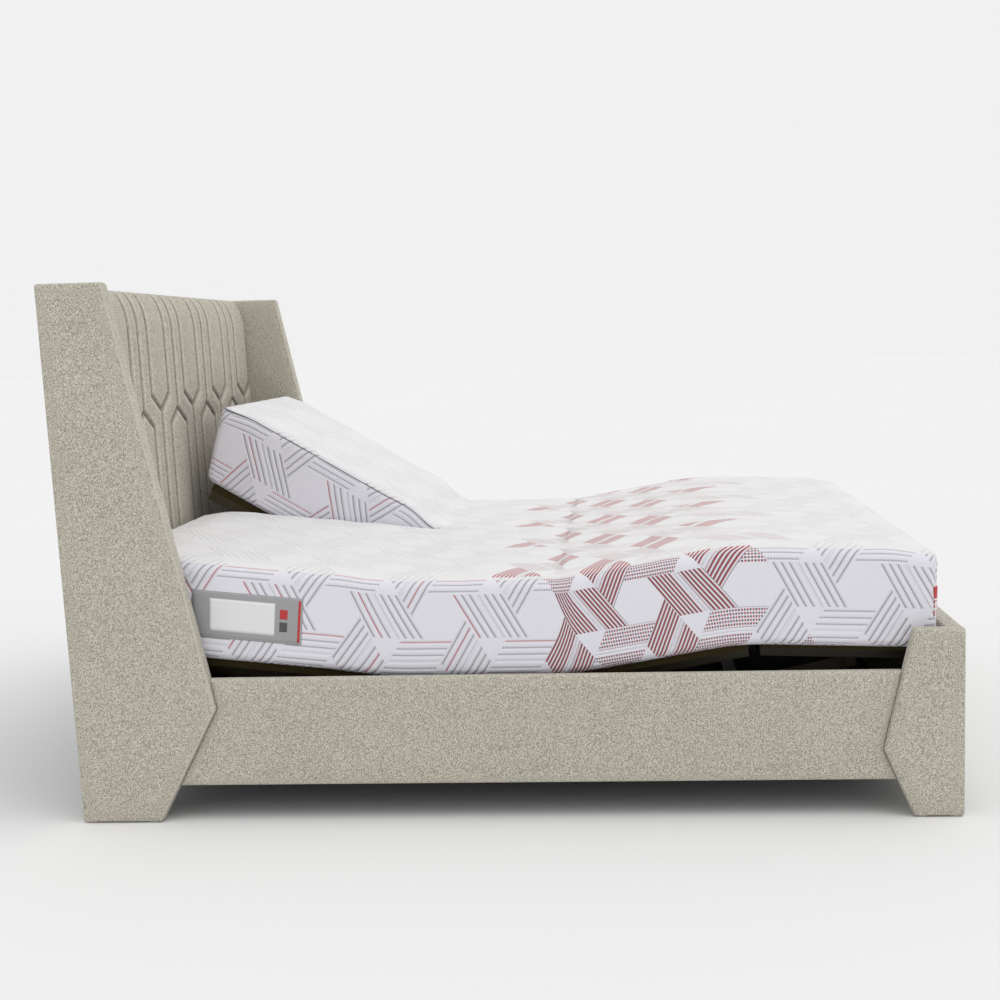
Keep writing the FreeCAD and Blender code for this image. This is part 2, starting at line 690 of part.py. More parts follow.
def head_guide_shoes():
    """Nylon shoes above and below each curved rail."""
    shoes = []
    inside = CURVE_R - CURVE_DEPTH / 2.0 - SHOE_CLEAR
    outside = CURVE_R + CURVE_DEPTH / 2.0 + SHOE_CLEAR
    for rail_x, plate_x in guide_xs():
        x0 = min(rail_x, plate_x + GUIDE_T)
        x1 = max(rail_x + CURVE_T, plate_x)
        for angle in SHOE_ANGLES:
            span = (angle - SHOE_SPAN / 2.0, angle + SHOE_SPAN / 2.0)
            shoes += both_sides(ring(inside - SHOE_DEPTH, inside, *span, x0, x1, HEAD_AXIS))
            shoes += both_sides(ring(outside, outside + SHOE_DEPTH, *span, x0, x1, HEAD_AXIS))
    return group(shoes)


def lift_bearings():
    """Bearing blocks on the long tubes for the torque tube."""
    y = THIGH_Y - TORQUE_Y
    top = TORQUE_Z + BEARING_HALF
    block = box(*BEARING_X, y - BEARING_HALF, y + BEARING_HALF, BASE_Z + BLOCK_RAISE, top)
    bore = rod_x(BEARING_X[0] - 1, TORQUE_HALF + 1, y, TORQUE_Z, TORQUE_R + RUN_CLEAR)
    return group(both_sides(block.cut(bore)))


def link_brackets():
    """Blocks on the long tubes, each with a fixed pin for a foot link."""
    y = THIGH_Y - LINK_PIVOT_Y
    half = LINK_BRACKET_HALF
    block = box(*LINK_BRACKET_X, y - half, y + half, BASE_Z + BLOCK_RAISE, LINK_PIVOT_Z + half)
    pin = rod_x(LINK_X - LINK_T / 2.0 - LINK_PIN_END, LINK_BRACKET_X[0], y, LINK_PIVOT_Z, LINK_PIN_R)
    return group(both_sides(block.fuse(pin).removeSplitter()))


def clevis(x, tube_y, y, z):
    """Two plates on a cross tube and the pin through them, for one drive's base end."""
    parts = []
    for side in (-1.0, 1.0):
        near, far = EYE_HALF + CLEVIS_GAP, EYE_HALF + CLEVIS_GAP + LUG_T
        x0, x1 = sorted((x + side * near, x + side * far))
        outline = [
            (tube_y - CROSS_W / 2.0, CROSS_TOP),
            (tube_y + CROSS_W / 2.0, CROSS_TOP),
            (tube_y + CROSS_W / 2.0, z + LUG_R),
            (tube_y - CROSS_W / 2.0, z + LUG_R),
        ]
        plate = side_profile(outline, x0, x1)
        reach = box(x0, x1, min(tube_y, y), max(tube_y, y), z - LUG_R, z + LUG_R)
        plate = plate.fuse([reach, rod_x(x0, x1, y, z, LUG_R)])
        plate = plate.cut(rod_x(x0 - 1, x1 + 1, y, z, PIN_R))
        parts.append(plate.removeSplitter())
    far = EYE_HALF + CLEVIS_GAP + LUG_T
    parts.append(rod_x(x - far, x + far, y, z, PIN_R))
    return parts


def drive_clevises():
    """Base clevises of the three drives."""
    places = cross_tube_places()
    parts = clevis(0.0, places["thigh_drive"], THIGH_DRIVE_Y, THIGH_DRIVE_Z)
    for x in (-HEAD_DRIVE_X, HEAD_DRIVE_X):
        parts += clevis(x, places["head_drives"], HEAD_DRIVE_Y, HEAD_DRIVE_Z)
    return group(parts)


def electronics_places():
    """Middle of the control box and of the power supply, on the plate."""
    y = cross_tube_places()["box"]
    return Vector(CONTROL_X, y, CROSS_TOP + PLATE_T), Vector(SUPPLY_X, y, CROSS_TOP + PLATE_T)


def electronics_plate():
    """Steel plate that carries the control box and power supply."""
    y = cross_tube_places()["box"]
    half_x, half_y = PLATE_HALF
    return box(-half_x, half_x, y - half_y, y + half_y, CROSS_TOP, CROSS_TOP + PLATE_T)


def casing(place, size):
    """A small plastic casing with rounded upright edges."""
    length, depth, height = size
    shape = box(
        place.x - length / 2.0, place.x + length / 2.0,
        place.y - depth / 2.0, place.y + depth / 2.0,
        place.z, place.z + height,
    )
    upright = [edge for edge in shape.Edges if abs(edge.Length - height) < 1e-6]
    return shape.makeFillet(CASING_ROUND, upright)


def mains_inlet():
    """Socket on the power supply that a mains lead plugs into."""
    place = electronics_places()[1]
    face = place.y + SUPPLY_SIZE[1] / 2.0
    width, depth, height = INLET_SIZE
    low, high = place.z + INLET_UP, place.z + INLET_UP + height
    shell = box(place.x - width / 2.0, place.x + width / 2.0, face, face + depth, low, high)
    inside = width / 2.0 - INLET_WALL
    mouth = face + depth + 1.0
    cavity = box(
        place.x - inside, place.x + inside,
        face + INLET_FLOOR, mouth,
        low + INLET_WALL, high - INLET_WALL,
    )
    return shell.cut(cavity)


def power_lead():
    """Lead from the power supply to the control box, clipped along the plate."""
    control, supply = electronics_places()
    z = supply.z + LEAD_R + LEAD_UP
    start = Vector(supply.x - LEAD_EXIT, supply.y - SUPPLY_SIZE[1] / 2.0, z)
    end = Vector(control.x + LEAD_EXIT, control.y - CONTROL_SIZE[1] / 2.0, z)
    turn = LEAD_TURN
    run_y = min(start.y, end.y) - turn - LEAD_SLACK
    route = [
        Part.makeLine(end, Vector(end.x, run_y + turn, z)),
        bend(Vector(end.x + turn, run_y + turn, z), turn, 180.0, 270.0),
        Part.makeLine(Vector(end.x + turn, run_y, z), Vector(start.x - turn, run_y, z)),
        bend(Vector(start.x - turn, run_y + turn, z), turn, 270.0, 360.0),
        Part.makeLine(Vector(start.x, run_y + turn, z), start),
    ]
    circle = Part.Wire(Part.makeCircle(LEAD_R, end, Vector(0, 1, 0)))
    return Part.Wire(route).makePipeShell([circle], True, False)


def bend(centre, radius, start, end):
    """A quarter turn of the lead's route, lying flat."""
    points = []
    for angle in (start, (start + end) / 2.0, end):
        turn = math.radians(angle)
        points.append(centre + Vector(radius * math.cos(turn), radius * math.sin(turn), 0))
    return Part.Arc(*points).toShape()


# ---- mattress ------------------------------------------------------------------------------
def mattress_block(x0, x1, outline):
    """One mattress section from its side outline."""
    return side_profile(outline, x0, x1)


def wedge(axis_z, half_angle, z):
    """How far a mattress end stands back from its hinge at a height."""
    return SOFT_GAP + max(0.0, z - axis_z) * math.tan(math.radians(half_angle))


def seat_mattress():
    """Fixed middle of the mattress, cut back so that its neighbours can fold up."""
    top = DECK_TOP + MATTRESS_T
    outline = [
        (THIGH_Y + wedge(HINGE_Z, THIGH_MAX / 2.0, DECK_TOP), DECK_TOP),
        (HEAD_Y - wedge(HEAD_AXIS_Z, HEAD_MAX / 2.0, DECK_TOP), DECK_TOP),
        (HEAD_Y - wedge(HEAD_AXIS_Z, HEAD_MAX / 2.0, HEAD_AXIS_Z), HEAD_AXIS_Z),
        (HEAD_Y - wedge(HEAD_AXIS_Z, HEAD_MAX / 2.0, top), top),
        (THIGH_Y + wedge(HINGE_Z, THIGH_MAX / 2.0, top), top),
    ]
    return mattress_block(-MATTRESS_HALF, MATTRESS_HALF, outline)


def head_mattress(side):
    """Head half of the mattress, lying flat; side is -1 or 1."""
    top = DECK_TOP + MATTRESS_T
    outline = [
        (HEAD_Y + wedge(HEAD_AXIS_Z, HEAD_MAX / 2.0, DECK_TOP), DECK_TOP),
        (HEAD_Y + HEAD_LENGTH, DECK_TOP),
        (HEAD_Y + HEAD_LENGTH, top),
        (HEAD_Y + wedge(HEAD_AXIS_Z, HEAD_MAX / 2.0, top), top),
        (HEAD_Y + wedge(HEAD_AXIS_Z, HEAD_MAX / 2.0, HEAD_AXIS_Z), HEAD_AXIS_Z),
    ]
    x0, x1 = sorted((side * SPLIT_GAP / 2.0, side * MATTRESS_HALF))
    return mattress_block(x0, x1, outline)


def thigh_mattress():
    """Thigh part of the mattress, lying flat."""
    top = DECK_TOP + MATTRESS_T
    outline = [
        (KNEE_Y + SOFT_GAP / 2.0, DECK_TOP),
        (THIGH_Y - wedge(HINGE_Z, THIGH_MAX / 2.0, DECK_TOP), DECK_TOP),
        (THIGH_Y - wedge(HINGE_Z, THIGH_MAX / 2.0, top), top),
        (KNEE_Y + SOFT_GAP / 2.0, top),
    ]
    return mattress_block(-MATTRESS_HALF, MATTRESS_HALF, outline)


def foot_mattress():
    """Foot part of the mattress, lying flat."""
    y0 = KNEE_Y - FOOT_LENGTH
    y1 = KNEE_Y - SOFT_GAP / 2.0
    return box(-MATTRESS_HALF, MATTRESS_HALF, y0, y1, DECK_TOP, DECK_TOP + MATTRESS_T)


def mattress_label():
    """Sewn label on the left side of the left head half, lying flat."""
    length, height = LABEL_SIZE
    y0 = HEAD_Y + LABEL_FROM_HINGE
    z0 = DECK_TOP + LABEL_UP
    return box(-MATTRESS_HALF - LABEL_T, -MATTRESS_HALF, y0, y0 + length, z0, z0 + height)


# ---- head sections -------------------------------------------------------------------------
def head_frame(side):
    """Frame of one head section, lying flat, with the lever plates for its drive."""
    y0, y1 = HEAD_Y + END_GAP, HEAD_Y + HEAD_LENGTH - END_GAP
    outer = hollow(SIDE_TUBE_IN, FRAME_HALF, y0, y1, FRAME_BOTTOM, FRAME_TOP)
    inner = hollow(SPLIT_INSET, SPLIT_INSET + TUBE, y0, y1, FRAME_BOTTOM, FRAME_TOP)
    tubes = [outer, inner]
    lever_y = HEAD_Y + HEAD_PIN_Y
    for y, trim in ((y0, 0.0), (lever_y - TUBE / 2.0, CURVE_T), (y1 - TUBE, 0.0)):
        x0, x1 = SPLIT_INSET + TUBE + trim, SIDE_TUBE_IN - trim
        tubes.append(hollow(x0, x1, y, y + TUBE, FRAME_BOTTOM, FRAME_TOP))
    hole = PIN_R + HEAD_PIN_CLEAR
    rim = hole + YOKE_RIM
    for offset in (-YOKE_HALF - LUG_T, YOKE_HALF):
        x0 = HEAD_DRIVE_X + offset
        plate = box(x0, x0 + LUG_T, lever_y - rim, lever_y + rim, HEAD_PIN_Z, FRAME_BOTTOM)
        plate = plate.fuse(rod_x(x0, x0 + LUG_T, lever_y, HEAD_PIN_Z, rim))
        tubes.append(plate.cut(rod_x(x0 - 1, x0 + LUG_T + 1, lever_y, HEAD_PIN_Z, hole)).removeSplitter())
    if side < 0:
        tubes = [tube.mirror(Vector(0, 0, 0), X_AXIS) for tube in tubes]
    return group(tubes)


def underside_y(radius):
    """Where a circle round the head axis meets the underside of the head frame."""
    return HEAD_Y + math.sqrt(radius**2 - (HEAD_AXIS_Z - FRAME_BOTTOM) ** 2)


def curved_rails(side):
    """The two curved rails under one head section, lying flat."""
    rails = []
    inside = CURVE_R - CURVE_DEPTH / 2.0
    outside = CURVE_R + CURVE_DEPTH / 2.0
    for x, _ in guide_xs():
        rail = ring(inside, outside, CURVE_START, CURVE_END, x, x + CURVE_T, HEAD_AXIS)
        reach = CURVE_R * 2.0
        below = box(x - 1, x + CURVE_T + 1, HEAD_Y - reach, HEAD_Y + reach, 0.0, FRAME_BOTTOM)
        rail = rail.common(below)
        web_end = underside_y(outside) + WEB_REACH
        web = box(x, x + CURVE_T, underside_y(inside), web_end, FRAME_BOTTOM, FRAME_TOP)
        rails.append(rail.fuse(web).removeSplitter())
    if side < 0:
        rails = [rail.mirror(Vector(0, 0, 0), X_AXIS) for rail in rails]
    return group(rails)


# ---- thigh and foot sections ---------------------------------------------------------------
def thigh_frame():
    """Thigh frame, lying flat, with runners for the lift rollers and hinge lugs at both ends."""
    y0, y1 = KNEE_Y + END_GAP, THIGH_Y - END_GAP
    parts = frame_tubes(FRAME_HALF, y0, y1, (y0, y1 - TUBE))
    parts += both_sides(
        hollow(RUNNER_X - TUBE / 2.0, RUNNER_X + TUBE / 2.0, y0 + TUBE, y1 - TUBE, FRAME_BOTTOM, FRAME_TOP)
    )
    beside = LUG_T + LUG_SIDE_GAP
    parts += [lug(x + beside, y1, THIGH_Y, HINGE_Z, LUG_R, PIN_R + RUN_CLEAR) for x in LUG_XS]
    parts += [lug(x, y0, KNEE_Y, HINGE_Z, LUG_R, PIN_R) for x in LUG_XS]
    return group(parts)


def foot_frame():
    """Foot frame, lying flat, with knee lugs and the pins for the foot links."""
    y0, y1 = KNEE_Y - FOOT_LENGTH + END_GAP, KNEE_Y - END_GAP
    link_y = KNEE_Y - LINK_FOOT_Y
    parts = frame_tubes(FRAME_HALF, y0, y1, (y0, link_y - TUBE / 2.0, y1 - TUBE))
    beside = LUG_T + LUG_SIDE_GAP
    parts += [lug(x + beside, y1, KNEE_Y, HINGE_Z, LUG_R, PIN_R + RUN_CLEAR) for x in LUG_XS]
    x0 = LINK_X + LINK_T / 2.0 + LINK_BRACKET_GAP
    pin_z = HINGE_Z - LINK_FOOT_DROP
    hanger = box(x0, x0 + LUG_T, link_y - HANGER_HALF, link_y + HANGER_HALF, pin_z - HANGER_HALF, FRAME_BOTTOM)
    pin = rod_x(LINK_X - LINK_T / 2.0 - LINK_PIN_END, x0, link_y, pin_z, LINK_PIN_R)
    parts += both_sides(hanger.fuse(pin).removeSplitter())
    return group(parts)


def foot_links():
    """The two links that hold up the foot frame, in their flat place."""
    start = (THIGH_Y - LINK_PIVOT_Y, LINK_PIVOT_Z)
    turn = math.radians(LINK_ANGLE)
    end = (start[0] - LINK_LENGTH * math.cos(turn), start[1] + LINK_LENGTH * math.sin(turn))
    x0, x1 = LINK_X - LINK_T / 2.0, LINK_X + LINK_T / 2.0
    link = strap(x0, x1, start, end, LINK_END_R, LINK_PIN_R + RUN_CLEAR, LINK_PIN_R + LINK_CLEAR)
    return group(both_sides(link))


# ---- thigh lift ----------------------------------------------------------------------------
def lift_point(length, degrees):
    """A place (y, z) on the lift arm, lying flat, from the torque tube's middle."""
    turn = math.radians(degrees)
    return (TORQUE_PLACE.y - length * math.cos(turn), TORQUE_PLACE.z + length * math.sin(turn))


def lift_arm():
    """Torque tube with two roller arms and the drive's two lever plates."""
    centre = (TORQUE_PLACE.y, TORQUE_PLACE.z)
    tube = rod_x(-TORQUE_HALF, TORQUE_HALF, *centre, TORQUE_R)
    roller = lift_point(ARM_LENGTH, ARM_ANGLE)
    lever = lift_point(LEVER_LENGTH, LEVER_ANGLE)
    parts = [tube]
    hole = PIN_R + THIGH_PIN_CLEAR
    for side in (-1.0, 1.0):
        x0, x1 = sorted((side * YOKE_HALF, side * (YOKE_HALF + ARM_T)))
        parts.append(strap(x0, x1, centre, lever, TORQUE_R + LEVER_RIM, TORQUE_R, hole))
        for reach in (-1.0, 1.0):
            middle = side * RUNNER_X + reach * (ROLLER_W / 2.0 + 1.0 + ARM_T / 2.0)
            x0, x1 = middle - ARM_T / 2.0, middle + ARM_T / 2.0
            parts.append(strap(x0, x1, centre, roller, TORQUE_R + ARM_RIM, TORQUE_R, PIN_R))
    return group(parts)


def lift_roller_pins():
    """Axles of the lift rollers, held in the arms."""
    y, z = lift_point(ARM_LENGTH, ARM_ANGLE)
    half = ROLLER_W / 2.0 + 1.0 + ARM_T
    return group([rod_x(x - half, x + half, y, z, PIN_R) for x in (-RUNNER_X, RUNNER_X)])


def lift_rollers():
    """Nylon rollers that push the thigh frame up."""
    y, z = lift_point(ARM_LENGTH, ARM_ANGLE)
    rollers = []
    for x in (-RUNNER_X, RUNNER_X):
        roller = rod_x(x - ROLLER_W / 2.0, x + ROLLER_W / 2.0, y, z, ROLLER_R)
        bore = rod_x(x - ROLLER_W, x + ROLLER_W, y, z, PIN_R + RUN_CLEAR)
        rollers.append(roller.cut(bore))
    return group(rollers)


# ---- drives --------------------------------------------------------------------------------
def drive_housing(x, length):
    """Housing of a drive along +Y from its base pin, with gearbox, sleeve and motor."""
    start, end, half = GEARBOX
    sleeve_end = length - EYE_R - SLEEVE_BACK
    eye = rod_x(x - EYE_HALF, x + EYE_HALF, 0, 0, EYE_R)
    neck = box(x - EYE_HALF, x + EYE_HALF, 0, start, -EYE_R, EYE_R)
    gearbox = box(x - half, x + MOTOR_OFFSET + MOTOR_R, start, end, -half, half)
    sleeve = Part.makeCylinder(SLEEVE_R, sleeve_end - end, Vector(x, end, 0), Vector(0, 1, 0))
    body = eye.fuse([neck, gearbox, sleeve])
    bore = Part.makeCylinder(ROD_R + RUN_CLEAR, sleeve_end, Vector(x, end - BORE_BACK, 0), Vector(0, 1, 0))
    pin_hole = rod_x(x - EYE_HALF - 1, x + EYE_HALF + 1, 0, 0, PIN_R + RUN_CLEAR)
    body = body.cut(bore).cut(pin_hole).removeSplitter()
    motor = Part.makeCylinder(MOTOR_R, MOTOR_LENGTH, Vector(x + MOTOR_OFFSET, end, 0), Vector(0, 1, 0))
    return group([body, motor])


def drive_rod(x, length, extended):
    """Rod of a drive along +Y, with its end eye and pin, pulled out by extended."""
    back = GEARBOX[1] + extended
    tip = length + extended
    rod = Part.makeCylinder(ROD_R, tip - EYE_R / 2.0 - back, Vector(x, back, 0), Vector(0, 1, 0))
    eye = rod_x(x - EYE_HALF, x + EYE_HALF, tip, 0, EYE_R)
    far = YOKE_HALF + max(LUG_T, ARM_T) + PIN_PAST
    pin = rod_x(x - far, x + far, tip, 0, PIN_R)
    return rod.fuse([eye, pin]).removeSplitter()


def place_drive(shape, y, z, radians, towards_foot):
    """A drive turned up by an angle and moved to its base pin."""
    out = shape.copy()
    if towards_foot:
        out.rotate(Vector(0, 0, 0), Vector(0, 0, 1), 180.0)
        out.rotate(Vector(0, 0, 0), X_AXIS, -math.degrees(radians))
    else:
        out.rotate(Vector(0, 0, 0), X_AXIS, math.degrees(radians))
    out.translate(Vector(0, y, z))
    return out


def head_drive(side, rest):
    """Housing and rod of one head drive at a head angle."""
    turn = math.radians(rest)
    tilt = HEAD_DRIVE_TILT[0] + HEAD_DRIVE_TILT[1] * turn
    length = HEAD_DRIVE_LENGTH[0]
    x = side * HEAD_DRIVE_X
    housing = drive_housing(x, length)
    rod = drive_rod(x, length, HEAD_DRIVE_LENGTH[1] * turn)
    return [place_drive(shape, HEAD_DRIVE_Y, HEAD_DRIVE_Z, tilt, False) for shape in (housing, rod)]


def thigh_drive(rest):
    """Housing and rod of the thigh drive at a thigh angle."""
    turn = math.radians(rest)
    tilt = THIGH_DRIVE_TILT[0] + THIGH_DRIVE_TILT[1] * turn
    length = THIGH_DRIVE_LENGTH[0]
    housing = drive_housing(0.0, length)
    rod = drive_rod(0.0, length, THIGH_DRIVE_LENGTH[1] * turn)
    return [place_drive(shape, THIGH_DRIVE_Y, THIGH_DRIVE_Z, tilt, True) for shape in (housing, rod)]


# ---- assembly ------------------------------------------------------------------------------
def knee_place():
    """The knee hinge with the thigh section at its rest angle."""
    turn = math.radians(REST_THIGH)
    return Vector(0, THIGH_Y - THIGH_LENGTH * math.cos(turn), HINGE_Z + THIGH_LENGTH * math.sin(turn))


def on_thigh(shape):
    """A flat-drawn piece turned with the thigh section to rest."""
    return turned(shape, THIGH_AXIS, -REST_THIGH)


def on_foot(shape):
    """A flat-drawn piece turned with the foot section to rest."""
    return on_thigh(turned(shape, KNEE_AXIS, -REST_THIGH * FOOT_RATIO))


def nodes():
    """Every node's name and shape at rest."""
    out = {}
    bolts = corner_bolt_places() + joint_bolt_places()
    for name, shape in (("wing", wing()), ("foot_wing", foot_wing()), ("rail", side_rail())):
        right, left = both_sides(drilled(shape, bolts, WING_INNER - FIT))
        out[name + "_right"] = right
        out[name + "_left"] = left
    out["headboard_frame"] = headboard_frame()
    out["headboard_back_cloth"] = headboard_back_cloth()
    wide, narrow = channel_outlines()
    out["headboard_channels_wide"] = channels(wide)
    out["headboard_channels_narrow"] = channels(narrow)
    out["footboard"] = footboard()
    out["corner_brackets"] = corner_brackets()
    out["corner_bolts"] = corner_bolts()
    out["floor_glides"] = floor_glides()

    out["base_sides"] = base_sides()
    out["base_cross_tubes"] = base_cross_tubes()
    out["base_legs"] = base_legs()
    out["leg_glides"] = leg_glides()
    out["dust_cover"] = dust_cover()
    out["deck_posts"] = deck_posts()
    out["seat_frame"] = seat_frame()
    out["seat_board"] = board(-BOARD_HALF, BOARD_HALF, THIGH_Y + END_GAP, HEAD_Y - END_GAP)
    out["seat_mattress"] = seat_mattress()
    out["thigh_hinge_pins"] = hinge_pins(THIGH_Y)
    out["head_guide_plates"] = head_guide_plates()
    out["head_guide_shoes"] = head_guide_shoes()
    out["lift_bearings"] = lift_bearings()
    out["link_brackets"] = link_brackets()
    out["drive_clevises"] = drive_clevises()
    control, supply = electronics_places()
    out["electronics_plate"] = electronics_plate()
    out["control_box"] = casing(control, CONTROL_SIZE)
    out["power_supply"] = casing(supply, SUPPLY_SIZE)
    out["mains_inlet"] = mains_inlet()
    out["power_lead"] = power_lead()

    for side, name, rest in ((-1, "left", REST_HEAD_LEFT), (1, "right", REST_HEAD_RIGHT)):
        x0, x1 = sorted((side * SPLIT_INSET, side * BOARD_HALF))
        deck = board(x0, x1, HEAD_Y + END_GAP, HEAD_Y + HEAD_LENGTH - SPLIT_INSET)
        out["head_frame_" + name] = turned(head_frame(side), HEAD_AXIS, rest)
        out["curved_rails_" + name] = turned(curved_rails(side), HEAD_AXIS, rest)
        out["head_board_" + name] = turned(deck, HEAD_AXIS, rest)
        out["head_mattress_" + name] = turned(head_mattress(side), HEAD_AXIS, rest)
        out["drive_housing_head_" + name], out["drive_rod_head_" + name] = head_drive(side, rest)
    out["mattress_label"] = turned(mattress_label(), HEAD_AXIS, REST_HEAD_LEFT)

    thigh_deck = board(-BOARD_HALF, BOARD_HALF, KNEE_Y + END_GAP, THIGH_Y - END_GAP)
    foot_deck = board(-BOARD_HALF, BOARD_HALF, KNEE_Y - FOOT_LENGTH + SPLIT_INSET, KNEE_Y - END_GAP)
    out["thigh_frame"] = on_thigh(thigh_frame())
    out["thigh_board"] = on_thigh(thigh_deck)
    out["thigh_mattress"] = on_thigh(thigh_mattress())
    out["knee_pins"] = on_thigh(hinge_pins(KNEE_Y))
    out["foot_frame"] = on_foot(foot_frame())
    out["foot_board"] = on_foot(foot_deck)
    out["foot_mattress"] = on_foot(foot_mattress())
    link_axis = Vector(0, THIGH_Y - LINK_PIVOT_Y, LINK_PIVOT_Z)
    out["foot_links"] = turned(foot_links(), link_axis, -REST_THIGH * LINK_RATIO)
    for name, shape in (("arm", lift_arm()), ("roller_pins", lift_roller_pins()), ("rollers", lift_rollers())):
        out["lift_" + name] = turned(shape, TORQUE_PLACE, -REST_THIGH * ARM_RATIO)
    out["drive_housing_thigh"], out["drive_rod_thigh"] = thigh_drive(REST_THIGH)
    return out


os.makedirs("parts", exist_ok=True)
for node_name, node_shape in nodes().items():
    node_shape.exportStep("parts/" + node_name + ".step")
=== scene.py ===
import math

import bmesh
import bpy
import numpy as np
from mathutils import Matrix, Vector


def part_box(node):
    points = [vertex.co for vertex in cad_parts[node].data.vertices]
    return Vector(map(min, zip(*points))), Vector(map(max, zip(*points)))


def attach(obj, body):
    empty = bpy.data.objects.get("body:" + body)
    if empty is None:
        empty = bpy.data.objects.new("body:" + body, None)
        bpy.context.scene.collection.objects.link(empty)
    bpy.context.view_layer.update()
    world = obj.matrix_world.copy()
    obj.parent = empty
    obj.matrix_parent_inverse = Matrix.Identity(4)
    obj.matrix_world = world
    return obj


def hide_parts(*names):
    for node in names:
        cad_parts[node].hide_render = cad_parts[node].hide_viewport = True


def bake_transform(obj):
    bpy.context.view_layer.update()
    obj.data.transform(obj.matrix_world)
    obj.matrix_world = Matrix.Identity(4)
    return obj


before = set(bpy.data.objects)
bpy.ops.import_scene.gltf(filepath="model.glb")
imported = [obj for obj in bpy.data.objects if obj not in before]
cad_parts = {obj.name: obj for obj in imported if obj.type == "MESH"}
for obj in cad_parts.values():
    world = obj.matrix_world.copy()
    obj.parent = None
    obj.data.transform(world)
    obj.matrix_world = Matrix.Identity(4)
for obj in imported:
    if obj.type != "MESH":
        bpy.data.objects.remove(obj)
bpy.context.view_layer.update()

# Camera: stands at the near side of the bed, a little towards the foot, at standing height, with a
# lens a little longer than normal.
eye = Vector((-4.6622, -0.2874, 1.179))
yaw, pitch, roll = 0.058, 0.1129, -0.0254
ahead = Vector((math.cos(yaw) * math.cos(pitch), math.sin(yaw) * math.cos(pitch), -math.sin(pitch)))
level = ahead.cross(Vector((0, 0, 1))).normalized()
over = level.cross(ahead)
right = level * math.cos(roll) + over * math.sin(roll)
upward = over * math.cos(roll) - level * math.sin(roll)
lens = bpy.data.cameras.new("camera")
lens.lens, lens.sensor_width = 55.8, 36.0
lens.shift_x, lens.shift_y = -0.0299, 0.0121
lens.clip_end = 80.0
camera = bpy.data.objects.new("camera", lens)
bpy.context.scene.collection.objects.link(camera)
camera.matrix_world = Matrix((
    (right.x, upward.x, -ahead.x, eye.x),
    (right.y, upward.y, -ahead.y, eye.y),
    (right.z, upward.z, -ahead.z, eye.z),
    (0, 0, 0, 1),
))
bpy.context.scene.camera = camera


# Studio: a wide pale floor under an even pale sky, and one large soft lamp high over the near
# foot corner, so every side of the bed stands before the same plain ground.
def nodes_in(tree):
    """A short way to add a node: its inputs by place or by name, its settings by name."""
    def add(kind, inputs=(), out=0, **settings):
        node = tree.nodes.new(kind)
        for name, value in settings.items():
            setattr(node, name, value)
        for socket, value in inputs.items() if isinstance(inputs, dict) else enumerate(inputs):
            if isinstance(value, bpy.types.NodeSocket):
                tree.links.new(value, node.inputs[socket])
            elif value is not None:
                node.inputs[socket].default_value = value
        return node.outputs[out]
    return add


def new_finish(name, roughness, specular=0.5, metallic=0.0, sheen=0.0):
    """An empty material: its node maker, its surface shader and its object coordinates."""
    material = bpy.data.materials.new(name)
    material.use_nodes = True
    shader = material.node_tree.nodes["Principled BSDF"]
    shader.inputs["Roughness"].default_value = roughness
    shader.inputs["Specular IOR Level"].default_value = specular
    shader.inputs["Metallic"].default_value = metallic
    shader.inputs["Sheen Weight"].default_value = sheen
    add = nodes_in(material.node_tree)
    return material, shader, add, add("ShaderNodeTexCoord", out="Object")


def tones(add, share, first, second, **settings):
    """One colour fading into another by a share."""
    inputs = (share, None, None, None, None, None, first, second)
    return add("ShaderNodeMix", inputs, 2, data_type="RGBA", **settings)


def plain_mesh(name, points, faces, material, smooth=True):
    """A mesh object at the origin, with its faces turned outwards."""
    mesh = bpy.data.meshes.new(name)
    mesh.from_pydata([tuple(p) for p in points], [], [tuple(f) for f in faces])
    shape = bmesh.new()
    shape.from_mesh(mesh)
    bmesh.ops.remove_doubles(shape, verts=shape.verts, dist=1e-6)
    bmesh.ops.recalc_face_normals(shape, faces=shape.faces)
    shape.to_mesh(mesh)
    shape.free()
    for face in mesh.polygons:
        face.use_smooth = smooth
    mesh.materials.append(material)
    piece = bpy.data.objects.new(name, mesh)
    bpy.context.scene.collection.objects.link(piece)
    return piece


studio_finish, studio_shader, add, place = new_finish("studio_ground", 0.9, 0.0)
cloud = add("ShaderNodeTexNoise", {"Vector": place, "Scale": 0.4, "Detail": 1.0})
studio_colour = tones(add, cloud, (0.80, 0.80, 0.80, 1), (0.81, 0.81, 0.81, 1))
studio_finish.node_tree.links.new(studio_colour, studio_shader.inputs["Base Color"])
turns, rings_out = 48, (0.0, 1.5, 3.0, 6.0, 12.0, 25.0, 60.0)
floor_points = [
    (r * math.cos(t), r * math.sin(t), 0.0)
    for r in rings_out for t in np.linspace(0, 2 * math.pi, turns, endpoint=False)
]
floor_faces = [
    (i * turns + j, i * turns + (j + 1) % turns, (i + 1) * turns + (j + 1) % turns, (i + 1) * turns + j)
    for i in range(len(rings_out) - 1) for j in range(turns)
]
floor = plain_mesh("studio_floor", floor_points, floor_faces, studio_finish)

sky = bpy.data.worlds.new("studio_sky")
bpy.context.scene.world = sky
sky.use_nodes = True
sky.node_tree.nodes["Background"].inputs["Color"].default_value = (0.88, 0.88, 0.88, 1)
sky.node_tree.nodes["Background"].inputs["Strength"].default_value = 1.0
bpy.context.scene.view_settings.view_transform = "Standard"
sun = bpy.data.lights.new("soft_sun", "SUN")
sun.energy, sun.angle = 0.80, math.radians(50.0)
sun_stand = bpy.data.objects.new("soft_sun", sun)
bpy.context.scene.collection.objects.link(sun_stand)
sun_stand.rotation_euler = Vector((0.25, 0.45, -1.0)).to_track_quat("-Z", "Y").to_euler()


